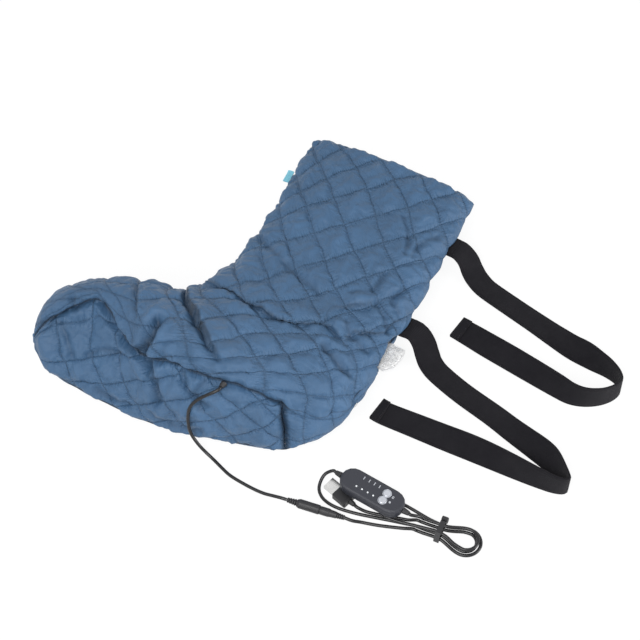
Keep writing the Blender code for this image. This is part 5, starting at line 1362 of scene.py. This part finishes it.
def bumped(height, strength, distance):
    """A bump node's normal."""
    inputs = {"Height": height, "Strength": strength, "Distance": distance}
    return Value(node(height.socket.id_data, "ShaderNodeBump", inputs).outputs["Normal"])


def new_finish(name, **constants):
    """A material with its Principled shader, whose plain values are set on its sockets."""
    material = bpy.data.materials.new(name)
    material.use_nodes = True
    shader = material.node_tree.nodes["Principled BSDF"]
    for key, value in constants.items():
        shader.inputs[key.replace("_", " ").title().replace("Ior", "IOR")].default_value = value
    return material, material.node_tree, shader


def feed(shader, colour, roughness, normal):
    """Link what changes over the surface to the shader."""
    put(shader.inputs["Base Color"], colour)
    put(shader.inputs["Roughness"], roughness)
    put(shader.inputs["Normal"], normal)


def shell_finish(name, colour):
    """Satin polyester with a fine weave, puckers along its quilting and soft creases, and shade painted into
    its valleys, creases and seam.
    """
    material, tree, shader = new_finish(name, sheen_weight=0.04, sheen_roughness=0.45,
                                        specular_ior_level=0.36)
    uv = uv_map(tree, "cloth")
    valley, pucker = grouped(tree, "Quilting", {"Vector": uv, "Width": 0.040})
    weave, thread = grouped(tree, "Weave", {"Vector": uv, "Warp": 64.0, "Weft": 64.0})
    cloud, grain = mottled(tree, 22.0, 900.0)
    away, by_seam = split(uv_map(tree, "seam"))
    crevice_shade, gathered = split(uv_map(tree, "shade"))
    cloth = tinted(colour, span(cloud * 0.7 + thread * 0.3, 0.28, 0.72), 0.83, 1.17)
    # painted shade: the quilting's valleys darkened
    cloth = blended(valley * 0.26, cloth, shaded(colour, 0.42))
    # painted shade: creases and undercuts darkened from the wall's shade map
    cloth = blended(crevice_shade * 0.80, cloth, shaded(colour, 0.22))
    # painted shade: a darkening in the groove along the sole's seam
    closed = 1.0 - span(by_seam, 0.08, 0.24)
    cloth = blended(closed * 0.75, cloth, shaded(colour, 0.16))
    crumple = clouds(object_place(tree), 36.0, 5.0, 0.55, 0.9)
    gathers = clouds(flat(away * 2.1, by_seam * 0.5), 1.0, 1.5, 0.45)
    near = (1.0 - span(by_seam, 0.0, 1.5)) ** 1.6 * gathered
    folds = pucker * 1.5 + crumple * 1.35 + (gathers - 0.5) * near * 4.6
    height = weave * 0.05 + folds + valley * -0.36
    rough = span(grain, 0.2, 0.8, 0.36, 0.50)
    feed(shader, cloth, rough, bumped(height, 0.80, 0.0024))
    return material


def fleece_finish(name, colour):
    """White pile with tufts and a soft sheen."""
    material, tree, shader = new_finish(name, sheen_weight=0.60, sheen_roughness=0.5,
                                        specular_ior_level=0.15, subsurface_weight=0.7,
                                        subsurface_radius=(1.0, 1.0, 1.0), subsurface_scale=0.004)
    cloud, grain = mottled(tree, 120.0, 1400.0)
    tufts = Value(node(tree, "ShaderNodeTexVoronoi", {
        "Vector": object_place(tree), "Scale": 420.0, "Randomness": 1.0}).outputs["Distance"])
    rough = span(grain, 0.2, 0.8, 0.86, 0.98)
    feed(shader, tinted(colour, cloud, 0.90, 1.08), rough, bumped(tufts * -0.7 + grain, 0.6, 0.0012))
    return material


def webbing_finish(name, colour, low=0.70, high=1.65, edge=1.0):
    """Ribbed elastic webbing: fine ribs along it, crossed by the weft, a groove by each edge."""
    material, tree, shader = new_finish(name, sheen_weight=0.04, sheen_roughness=0.5,
                                        specular_ior_level=0.16)
    uv = uv_map(tree, "cloth")
    weave, thread = grouped(tree, "Weave", {"Vector": uv, "Warp": 900.0, "Weft": 520.0})
    cloud, grain = mottled(tree, 60.0, 1600.0)
    band = tinted(colour, span(grain * 0.5 + thread * 0.5, 0.3, 0.8), low, high)
    from_middle = abs(split(uv)[0] - WEBBING_MIDDLE)
    groove = (1.0 - span(abs(from_middle - WEBBING_GROOVE), 0.0, WEBBING_GROOVE_WIDTH)) * edge
    # painted shade: the grooves by the edges darkened
    band = blended(groove * 0.6, band, shaded(colour, 0.35))
    height = weave + grain * 0.4 - groove * 0.9
    feed(shader, band, span(cloud, 0.3, 0.7, 0.70, 0.88), bumped(height, 0.55, 0.0006))
    return material


def moulded_finish(name, colour, roughness, scale, grain_scale, bump, **constants):
    """A moulded plastic or painted face: cloudy gloss and a fine spark-eroded grain."""
    material, tree, shader = new_finish(name, **constants)
    cloud, grain = mottled(tree, scale, grain_scale)
    rough = span(cloud + grain * 0.4, 0.4, 1.0, roughness * 0.85, roughness * 1.2)
    feed(shader, tinted(colour, cloud, 0.86, 1.16), rough, bumped(grain, bump, 0.0002))
    return material


def make_finishes(colours):
    """Every material, by name."""
    mottle_group()
    weave_group()
    quilting_group()
    webbing, shell, jacket = colours.webbing, colours.shell, colours.cord
    made = {
        "shell": shell_finish("quilted_polyester", shell),
        "fleece": fleece_finish("fleece_pile", colours.fleece),
        "webbing": webbing_finish("elastic_webbing", webbing),
        "tag": webbing_finish("woven_tag", colours.tag, 0.88, 1.10, 0.0),
    }
    for key, name, look, constants in (
            ("cord", "cord_jacket", (jacket, 0.27, 60.0, 1500.0, 0.08), {"specular_ior_level": 0.42}),
            ("rubber", "moulded_connector", ([c * 1.5 for c in jacket], 0.46, 70.0, 2600.0, 0.25), {}),
            ("housing", "controller_plastic", (colours.housing, 0.46, 45.0, 3200.0, 0.30), {}),
            ("button", "silver_button", (colours.button, 0.30, 120.0, 4000.0, 0.08), {"metallic": 0.35}),
            ("lamp", "lamp_lens", ((0.82, 0.85, 0.90), 0.25, 300.0, 2000.0, 0.05), {}),
            ("print", "printed_mark", ((0.50, 0.52, 0.56), 0.5, 300.0, 3000.0, 0.1), {}),
            ("board", "circuit_board", ((0.03, 0.18, 0.07), 0.45, 500.0, 4000.0, 0.2), {}),
            ("metal", "plated_metal", ((0.66, 0.66, 0.65), 0.24, 150.0, 2500.0, 0.12), {"metallic": 1.0}),
            ("tongue", "contact_tongue", ((0.74, 0.74, 0.72), 0.5, 300.0, 2500.0, 0.1), {}),
            ("heater", "heating_film", ((0.55, 0.27, 0.09), 0.5, 80.0, 1500.0, 0.3), {}),
            ("thread", "sewing_thread", ([c * 0.60 for c in shell], 0.6, 300.0, 4000.0, 0.3), {}),
            ("black_thread", "black_thread", ([c * 1.3 for c in webbing], 0.7, 200.0, 3000.0, 0.3), {})):
        made[key] = moulded_finish(name, *look, **constants)
    return made


def finish(name):
    """A finish by its short name; the first call makes them all."""
    if not FINISHES:
        FINISHES.update(make_finishes(bpy.context.scene.boot_colours))
    return FINISHES[name]


FINISHES = {}


# Stage and cords

# Each lamp's name, size and place; its power is a setting
LAMPS = (
    ("key", 0.9, (-0.38, -1.02, 1.26)),
    ("fill", 1.4, (-0.9, 0.9, 1.2)),
    ("side", 0.7, (1.45, -0.60, 0.38)),
)
FLOOR_SIDE = 3.0
FLOOR_LEVEL = -0.0004
FLOOR_CORNERS = ((-1, -1), (1, -1), (1, 1), (-1, 1))


def seen_plainly(tree):
    """One for the camera's, mirrored and clear rays, nought for the light on things."""
    rays = node(tree, "ShaderNodeLightPath").outputs
    camera, glossy, clear = (Value(rays["Is %s Ray" % kind]) for kind in ("Camera", "Glossy", "Transmission"))
    return calc("MAXIMUM", calc("MAXIMUM", camera, glossy), clear)


def mixed_output(tree, kind, share, first, second):
    """An output that mixes two shaders."""
    mix = node(tree, "ShaderNodeMixShader", {0: share, 1: first, 2: second})
    node(tree, kind, {"Surface": mix})


class BOOT_OT_stage(bpy.types.Operator):
    """Make the camera, the lamps, the sky and the plain floor"""

    bl_idname = "boot.stage"
    bl_label = "Stage"

    def execute(self, context):
        scene = context.scene
        settings = scene.boot_stage
        data = bpy.data.cameras.new("photo_camera")
        data.lens = CAMERA_LENS
        data.sensor_width = SENSOR_WIDTH
        camera = linked("photo_camera", data)
        camera.location = CAMERA_EYE
        camera.rotation_euler = (0.5 * math.pi - CAMERA_RISE, 0, 0)
        scene.camera = camera
        scene.view_settings.view_transform = "Standard"
        for name, size, place in LAMPS:
            data = bpy.data.lights.new(name + "_lamp", "AREA")
            data.energy = getattr(settings, name)
            data.size = size
            lamp = linked(name + "_lamp", data)
            lamp.location = place
            lamp.rotation_euler = (-Vector(place)).to_track_quat("-Z", "Y").to_euler()
        self.sky(scene, settings.sky)
        self.floor(settings.floor_shadow)
        return {"FINISHED"}

    def sky(self, scene, strength):
        """An even white sky, which the camera sees as plain white."""
        scene.world = bpy.data.worlds.new("studio_sky")
        scene.world.use_nodes = True
        tree = scene.world.node_tree
        tree.nodes.clear()
        light = node(tree, "ShaderNodeBackground", {"Color": (1, 1, 1, 1), "Strength": strength})
        white = node(tree, "ShaderNodeBackground", {"Color": (1, 1, 1, 1), "Strength": 1.0})
        mixed_output(tree, "ShaderNodeOutputWorld", seen_plainly(tree), light, white)

    def floor(self, shadow):
        """The plain pale floor, which shows part of the object's shadow."""
        mesh = bpy.data.meshes.new("floor")
        corners = [(x * FLOOR_SIDE, y * FLOOR_SIDE, FLOOR_LEVEL) for x, y in FLOOR_CORNERS]
        mesh.from_pydata(corners, [], [(0, 1, 2, 3)])
        material = bpy.data.materials.new("pale_floor")
        material.use_nodes = True
        tree = material.node_tree
        tree.nodes.clear()
        tone = tinted((0.93, 0.93, 0.93), clouds(object_place(tree), 3.0, 2.0), 0.99, 1.01)
        plain = node(tree, "ShaderNodeBsdfDiffuse", {"Color": tone})
        glow = node(tree, "ShaderNodeEmission", {"Color": (1, 1, 1, 1), "Strength": 1.05})
        mixed_output(tree, "ShaderNodeOutputMaterial", seen_plainly(tree) * (1.0 - shadow), plain, glow)
        mesh.materials.append(material)
        linked("floor", mesh)


class BOOT_OT_cords(bpy.types.Operator):
    """Make the lead, the connector's cord with its hank, and the power cord"""

    bl_idname = "boot.cords"
    bl_label = "Cords"

    def execute(self, context):
        diameter = context.scene.boot_sizes.cord
        for name, line, body, nodes in CORDS:
            curve = bpy.data.curves.new(name, "CURVE")
            curve.dimensions = "3D"
            curve.bevel_depth = 0.5 * diameter
            curve.bevel_resolution = 4
            curve.use_fill_caps = True
            path = smooth_path(line, 3)
            path[:, 2] = np.maximum(path[:, 2], 0.5 * diameter + 0.00005)
            spline = curve.splines.new("POLY")
            spline.points.add(len(path) - 1)
            for knot, point in zip(spline.points, path):
                knot.co = (*point, 1.0)
            spline.use_smooth = True
            curve.materials.append(finish("cord"))
            thing = linked(name, curve)
            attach(thing, body)
            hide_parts(*nodes)
        return {"FINISHED"}


class BOOT_OT_cord_facts(bpy.types.Operator):
    """An empty step: it states nothing about the cords"""

    bl_idname = "boot.cord_facts"
    bl_label = "Cord facts"

    def execute(self, context):
        return {"FINISHED"}


# Boot: shells, linings, toe and threads


class BOOT_OT_shells(bpy.types.Operator):
    """Make the quilted shells of both flanks and of the sole"""

    bl_idname = "boot.shells"
    bl_label = "Quilted shells"

    def execute(self, context):
        sizes = context.scene.boot_sizes
        wall = boot_wall(sizes.steps, sizes)
        wall.take_cloth(sewn_cloth(sizes), sizes.cloth_steps)
        outer = wall.outer_face()
        inner = wall.points - wall.normals * wall.depth(0, PAD_THICKNESS)[..., None]
        for label, region in flank_regions().items():
            mesh = wall.panel(label + "_quilt", region, outer, inner, 0.4 * SEAM_GAP)
            thing = add_piece(label + "_quilt", mesh, finish("shell"), "boot", [label + "_shell"])
        for label, region in flank_regions().items():
            lines = stitched_lines(wall, label, region, outer)
            values = {"Pitch": sizes.stitch, "Length": 0.7 * sizes.stitch, "Thread": sizes.thread,
                      "Material": finish("thread")}
            mesh = grown(label + "_stitches", lines, stitches_tree(), values)
            add_piece(label + "_stitches", mesh, None, "boot")
        mesh = softened("toe_gather", "toe_seam_allowance", 0.0008, 0.0008, 420.0)
        add_piece("toe_gather", mesh, finish("shell"), "boot", ["toe_seam_allowance"])
        return {"FINISHED"}


class BOOT_OT_linings(bpy.types.Operator):
    """Make the fleece linings of both flanks and of the sole, and the flap"""

    bl_idname = "boot.linings"
    bl_label = "Fleece linings"

    def execute(self, context):
        sizes = context.scene.boot_sizes
        wall = boot_wall(sizes.lining_steps, sizes)
        pocket = LAYER_GAP + HEATER_THICKNESS
        tufts = np.array([[noise.noise(Vector(point) * 260.0) for point in row] for row in wall.points])
        front_depth = wall.depth(LAYER_GAP, PAD_THICKNESS)
        back_depth = wall.depth(LAYER_GAP, PAD_THICKNESS + LINING_THICKNESS) + sizes.pile * tufts
        near_heel = np.exp(-((wall.p - SOLE_END) ** 2))
        near_seam = np.exp(-(((wall.q - LOWER_SEAM) / 0.9) ** 2))
        near_seam = near_seam * (LINING_HEEL_SINK * near_heel - LINING_SEAM_RISE)
        for label, region in flank_regions().items():
            extra = wall.depth(0, 0, pocket) if label == "sole" else near_seam
            front = wall.points - wall.normals * (front_depth + extra)[..., None]
            back = wall.points - wall.normals * (back_depth + extra)[..., None]
            mesh = wall.panel(label + "_fleece", region, front, back, LINING_INSET)
            thing = add_piece(label + "_fleece", mesh, finish("fleece"), "boot", [label + "_lining"])
        front = wall.points - wall.normals * wall.depth(0.5 * LAYER_GAP, PAD_THICKNESS)[..., None]
        back = front - wall.normals * HEATER_THICKNESS
        film = [[(2 * first, 2 * last) for first, last in (HEATER_ALONG, HEATER_ACROSS)]]
        mesh = wall.panel("heater_film", film, front, back)
        add_piece("heater_film", mesh, finish("heater"), "boot", ["heating_pad"])
        mesh = softened("flap_form", "fleece_flap", 0.0010, 0.0007, 200.0)
        values = {"Density": 900000.0, "Length": 0.0016, "Thickness": 0.00030, "Seed": 7,
                  "Material": finish("fleece")}
        mesh = grown("fleece_tuft", mesh, pile_tree(), values)
        thing = add_piece("fleece_tuft", mesh, None, "boot", ["fleece_flap"])
        return {"FINISHED"}


WALLS = {}


def boot_wall(steps, sizes):
    """The wall in steps of that fineness, made once."""
    if steps not in WALLS:
        WALLS[steps] = BootWall(steps, sizes)
        WALLS[steps].bend(steps == sizes.steps)
    return WALLS[steps]


# Straps

WEBBING_MIDDLE = 0.0125
WEBBING_GROOVE = 0.0102
WEBBING_GROOVE_WIDTH = 0.0007
ROOT_LENGTH = 0.014
ROOT_SPARE = 0.0009
HEM_LENGTH = 0.012
HEM_GAP = 0.0002
HEM_MARGINS = (0.0015, 0.002)


def band_axes(heading, tilt):
    """Directions across a band and out of its face, from where it heads and its tilt."""
    level = unit(np.cross([0.0, 0.0, 1.0], heading))
    across = math.cos(tilt) * level + math.sin(tilt) * np.cross(heading, level)
    return across, np.cross(heading, across)


def ribbon_mesh(name, stations, lift, width, thickness, root_share=1.0):
    """A flat band with round edges, and a UV map in metres across and along it."""
    path = stations[:, :3]
    ahead = np.gradient(path, axis=0)
    ahead /= np.linalg.norm(ahead, axis=1, keepdims=True)
    reach = reaches(path)
    up = np.array([0.0, 0.0, 1.0])
    edge = 0.5 * thickness
    turns = np.radians([0, 40, 70, 90])
    corner = [(edge * (1 - math.sin(t)), edge * math.cos(t)) for t in turns]
    steps = [edge + (width - 2 * edge) * k / 8 for k in range(1, 8)]
    side = [(0.0, 0.0)] + [(x, y) for x, y in reversed(corner)][1:]
    outline = side + [(x, edge) for x in steps]
    outline += [(width - x, y) for x, y in corner]
    outline += [(width - x, -y) for x, y in reversed(corner)][1:]
    outline += [(x, -edge) for x in reversed(steps)]
    outline += [(x, -y) for x, y in corner][:-1]
    loops, uvs = [], []
    for k, (point, heading, tilt) in enumerate(zip(path, ahead, np.radians(stations[:, 3]))):
        across, face = band_axes(heading, tilt)
        full = root_share + (1 - root_share) * min(1.0, reach[k] / 0.004)
        base = point + up * (0.5 * thickness * abs(math.cos(tilt)) + FLOOR_CLEARANCE) + face * lift
        loops.append([base + across * x + face * y * full for x, y in outline])
        uvs += [(x, reach[k]) for x, y in outline]
    vertices = [v for loop in loops for v in loop]
    mesh = mesh_from(name, vertices, loft_faces(len(loops), len(outline)), uvs)
    mesh.set_sharp_from_angle(angle=math.radians(60))
    return mesh


def strap_stations(route, along_share, spacing):
    """Even stations along a strap's route."""
    path = smooth_path(route, 6)
    path[:, :2] += boot_point("leg", along_share, 0)
    path[:, 2] = np.maximum(path[:, 2], 0.0)
    return resample(path, spacing)


class BOOT_OT_straps(bpy.types.Operator):
    """Make both elastic straps with their sewn anchors and folded hems"""

    bl_idname = "boot.straps"
    bl_label = "Straps"

    def execute(self, context):
        sizes = context.scene.boot_sizes
        width, thickness = sizes.strap_width, sizes.strap_thickness
        for prefix, route, along_share in (("upper", UPPER_STRAP_ROUTE, UPPER_STRAP_ALONG_SHARE),
                                           ("lower", LOWER_STRAP_ROUTE, LOWER_STRAP_ALONG_SHARE)):
            body = prefix + "_strap_body"
            stations = strap_stations(route, along_share, 0.1 * width)
            mesh = ribbon_mesh(prefix + "_webbing", stations, 0.0, width, thickness, 0.4)
            add_piece(prefix + "_webbing", mesh, finish("webbing"), body, [prefix + "_strap"])
            outward = stations[0, :3] - stations[1, :3]
            outward[2] = 0
            outward = unit(outward)
            root = np.array([stations[0], stations[0]])
            root[0, :3] += outward * (ROOT_LENGTH + ROOT_SPARE)
            root[1, :3] += outward * 0.00005
            mesh = ribbon_mesh(prefix + "_webbing_root", root, 0.0, width, thickness)
            add_piece(prefix + "_webbing_root", mesh, finish("webbing"), "boot",
                      [prefix + "_strap_anchor"])
            reach = reaches(stations[:, :3])
            hem = stations[reach >= reach[-1] - HEM_LENGTH]
            mesh = ribbon_mesh(prefix + "_webbing_hem", hem, -thickness - HEM_GAP, width, thickness)
            add_piece(prefix + "_webbing_hem", mesh, finish("webbing"), body, [prefix + "_strap_hem"])
            self.hem_stitches(prefix, hem, body, width, thickness, sizes)
        return {"FINISHED"}

    def hem_stitches(self, prefix, hem, body, width, thickness, sizes):
        """Rows of stitches across the hem's two ends and along its sides."""
        heading = unit(hem[-1, :3] - hem[0, :3])
        tilt = math.radians(hem[:, 3].mean())
        across, face = band_axes(heading, tilt)
        length = np.linalg.norm(hem[-1, :3] - hem[0, :3])
        spots, edges = [], []
        base = hem[0, :3] + np.array([0, 0, 0.5 * thickness * abs(math.cos(tilt)) + FLOOR_CLEARANCE])
        for side in (1, -1):
            lift = 0.5 * thickness + 0.0001 if side > 0 else -1.5 * thickness - 0.0003
            end, edge = HEM_MARGINS
            box = [(end, edge), (length - end, edge), (length - end, width - edge), (end, width - edge)]
            first = len(spots)
            spots += [base + heading * run + across * x + face * lift for run, x in box]
            edges += [(first + i, first + (i + 1) % 4) for i in range(4)]
        mesh = bpy.data.meshes.new(prefix + "_hem_lines")
        mesh.from_pydata([tuple(spot) for spot in spots], edges, [])
        values = {"Pitch": 0.0028, "Length": 0.0021, "Thread": sizes.thread * 1.1,
                  "Material": finish("black_thread")}
        mesh = grown(prefix + "_hem_stitches", mesh, stitches_tree(), values)
        add_piece(prefix + "_hem_stitches", mesh, None, body)


# Tag, connectors' reliefs and the controller's face

TAG_ROOT = (-0.0332, 0.1590, 0.0250)
TAG_END = (-0.0267, 0.1757, 0.0250)
TAG_SECTION = [
    (0, 0.60), (2.0, 0.66), (4.5, 0.62), (6.2, 0.42), (6.7, 0.0), (6.2, -0.42), (4.5, -0.56), (2.0, -0.62),
    (0, -0.58), (0, -0.28), (2.0, -0.32), (4.5, -0.26), (6.0, -0.16), (6.3, 0.0), (6.0, 0.18), (4.5, 0.32),
    (2.0, 0.36), (0, 0.30),
]
CONNECTOR_PLACE = (-0.0303, -0.2070, 0.0)
CONNECTOR_ANGLE = math.radians(-19.6)
CONNECTOR_HEIGHT = 0.0046
# Each relief's name, node, body, start and length on the axis, and its two radii
RELIEFS = (
    ("socket_ribs", "socket_strain_relief", "boot", 0.0002, 0.0113, 0.0023, 0.0034),
    ("plug_ribs", "plug_strain_relief", "cord_set", 0.0470, 0.0090, 0.0031, 0.0022),
)
CONTROLLER_PLACE = (0.0476, -0.2051, 0.0)
CONTROLLER_ANGLE = math.radians(-33.2)
CONTROLLER_TOP = 0.01950
# Marks on the controller: place along and across it, length and width
FACE_MARKS = [(run, 0.0064, 0.0008, 0.0034) for run in (-0.0126, -0.0069, -0.0014, 0.0040)]
FACE_MARKS += [(0.0200, 0.0042, 0.0020, 0.0009), (0.0200, 0.0028, 0.0020, 0.0009)]
FACE_MARKS += [(0.0200, -0.0024, 0.0021, 0.0021)]
# A button's rim in section: radius and height over the controller's top
RIM_SECTION = (
    (0.00372, -0.0001), (0.00372, 0.00022), (0.00400, 0.00030), (0.00428, 0.00018), (0.00432, -0.0001),
)


def turned(centre, angle, runs):
    """Points given as run, side and height in a turned frame on the floor plan."""
    ahead = np.array([math.cos(angle), math.sin(angle), 0.0])
    side = np.array([-math.sin(angle), math.cos(angle), 0.0])
    return [np.array(centre) + ahead * run + side * wide + np.array([0.0, 0.0, height])
            for run, wide, height in runs]


def rounded_plate(centre, angle, run, side, long, wide, low, high):
    """Two loops of a thin plate with round corners on the controller's face."""
    radius = 0.45 * min(long, wide)
    outline = []
    for k in range(24):
        t = 2 * math.pi * (k + 0.5) / 24
        x = math.copysign(0.5 * long - radius, math.cos(t)) + radius * math.cos(t)
        y = math.copysign(0.5 * wide - radius, math.sin(t)) + radius * math.sin(t)
        outline.append((run + x, side + y))
    return [turned(centre, angle, [(x, y, z) for x, y in outline]) for z in (low, high)]


class BOOT_OT_small_parts(bpy.types.Operator):
    """Make the side tag, the ribbed strain reliefs and the marks on the controller"""

    bl_idname = "boot.small_parts"
    bl_label = "Small parts"

    def execute(self, context):
        self.tag()
        for relief in RELIEFS:
            self.ribs(*relief)
        self.marks()
        self.rims()
        return {"FINISHED"}

    def tag(self):
        """A folded woven tag that stands out of the front seam."""
        root = np.array(TAG_ROOT)
        along = np.array(TAG_END) - root
        outward = np.array([-along[1], along[0], 0.0]) / np.linalg.norm(along)
        loops = []
        for k in range(13):
            t = k / 12
            base = root + along * (0.06 + 0.88 * t)
            curl = 0.0004 * math.sin(2.2 * math.pi * t)
            loops.append([base + outward * (0.001 * x) + np.array([0, 0, 0.001 * z + curl * x / 6.7])
                          for x, z in TAG_SECTION])
        mesh = lofted("woven_side_tag", loops, sharp=50)
        layer = mesh.uv_layers.new(name="cloth")
        for loop in mesh.loops:
            place = np.array(mesh.vertices[loop.vertex_index].co) - root
            length = float(place @ along / np.linalg.norm(along))
            layer.data[loop.index].uv = (float(place @ outward) * 2, length * 2)
        add_piece("woven_side_tag", mesh, finish("tag"), "boot", ["side_tag"])

    def ribs(self, name, node_name, body, start, length, first, last):
        """A tapered relief with ring-shaped ribs on the connectors' axis."""
        loops = []
        count = 41
        for k in range(count):
            t = k / (count - 1)
            ridge = 0.5 + 0.5 * math.cos(2 * math.pi * 5 * t + math.pi)
            radius = (first + (last - first) * t) * (0.80 + 0.20 * min(1.0, 2.2 * ridge))
            run = start + length * t
            ring = [(run, radius * math.cos(a), CONNECTOR_HEIGHT + radius * math.sin(a))
                    for a in np.linspace(0, 2 * math.pi, 24, endpoint=False)]
            loops.append(turned(CONNECTOR_PLACE, CONNECTOR_ANGLE, ring))
        add_piece(name, lofted(name, loops, sharp=50), finish("rubber"), body, [node_name])

    def marks(self):
        """Plain bars and dots printed on the controller."""
        for k, (run, side, long, wide) in enumerate(FACE_MARKS):
            name = "face_mark_%d" % (k + 1)
            loops = rounded_plate(CONTROLLER_PLACE, CONTROLLER_ANGLE, run, side, long, wide,
                                  CONTROLLER_TOP - 0.00004, CONTROLLER_TOP + 0.00005)
            add_piece(name, lofted(name, loops), finish("print"), "cord_set")

    def rims(self):
        """Rims round the controller's two buttons."""
        for name, node_name in (("mode_rim", "mode_button"), ("power_rim", "power_button")):
            near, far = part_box(node_name)
            middle = np.array([0.5 * (near[0] + far[0]), 0.5 * (near[1] + far[1]), CONTROLLER_TOP])
            turns = np.linspace(0, 2 * math.pi, 48, endpoint=False)
            vertices = [middle + np.array([r * math.cos(a), r * math.sin(a), z])
                        for a in turns for r, z in RIM_SECTION]
            faces = loft_faces(len(turns), len(RIM_SECTION), closed=True)
            add_piece(name, mesh_from(name, vertices, faces), finish("button"), "cord_set")


class BOOT_OT_carried(bpy.types.Operator):
    """Give the moulded and hidden pieces of the frame their finishes"""

    bl_idname = "boot.carried"
    bl_label = "Carried pieces"

    def execute(self, context):
        for names, label in CARRIED:
            for name in names:
                for place in frame_object(name).material_slots:
                    place.material = finish(label)
        return {"FINISHED"}


CARRIED = [
    (("lead_gland", "socket_body", "plug_body", "tie_band", "tie_head",
      "controller_relief_right", "controller_relief_left", "usb_overmould", "usb_strain_relief"), "rubber"),
    (("controller_base", "controller_cover", "mode_switch", "power_switch", "thermal_cutout"), "housing"),
    (("mode_button", "power_button"), "button"),
    (("lamp_1", "lamp_2", "lamp_3", "lamp_4"), "lamp"),
    (("socket_pin", "plug_barrel", "usb_shell"), "metal"),
    (("controller_board",), "board"),
    (("usb_tongue",), "tongue"),
]
CORDS = [
    ("lead_wire", LEAD_LINE, "boot", ("lead_cord",)),
    ("controller_wire", CONNECTOR_LINE, "cord_set", ("connector_cord", "cord_hank", "controller_cord")),
    ("power_wire", POWER_LINE, "cord_set", ("power_cord_loop", "power_cord_turn", "power_cord_tail")),
]


class BOOT_PT_panel(bpy.types.Panel):
    """The boot's pieces and their sizes and colours"""

    bl_idname = "BOOT_PT_panel"
    bl_label = "Heated boot"
    bl_space_type = "VIEW_3D"
    bl_region_type = "UI"
    bl_category = "Boot"

    def draw(self, context):
        layout = self.layout
        for piece in OPERATORS:
            layout.operator(piece.bl_idname)
        for owner in (context.scene.boot_sizes, context.scene.boot_colours, context.scene.boot_stage):
            for name in owner.__annotations__:
                layout.prop(owner, name)


OPERATORS = (
    BOOT_OT_stage, BOOT_OT_cords, BOOT_OT_shells, BOOT_OT_linings, BOOT_OT_straps, BOOT_OT_small_parts,
    BOOT_OT_carried, BOOT_OT_cord_facts,
)
GROUPS = (("boot_sizes", BootSizes), ("boot_colours", BootColours), ("boot_stage", StageSettings))


def register():
    """Register the property groups, the operators and the panel."""
    for name, group in GROUPS:
        bpy.utils.register_class(group)
        setattr(bpy.types.Scene, name, PointerProperty(type=group))
    for piece in (*OPERATORS, BOOT_PT_panel):
        bpy.utils.register_class(piece)


def unregister():
    """Take them all back."""
    for piece in reversed((*OPERATORS, BOOT_PT_panel)):
        bpy.utils.unregister_class(piece)
    for name, group in reversed(GROUPS):
        delattr(bpy.types.Scene, name)
        bpy.utils.unregister_class(group)


def main():
    register()
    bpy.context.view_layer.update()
    for name in ("stage", "cords", "shells", "linings", "straps", "small_parts", "carried", "cord_facts"):
        getattr(bpy.ops.boot, name)()


if __name__ == "__main__":
    main()
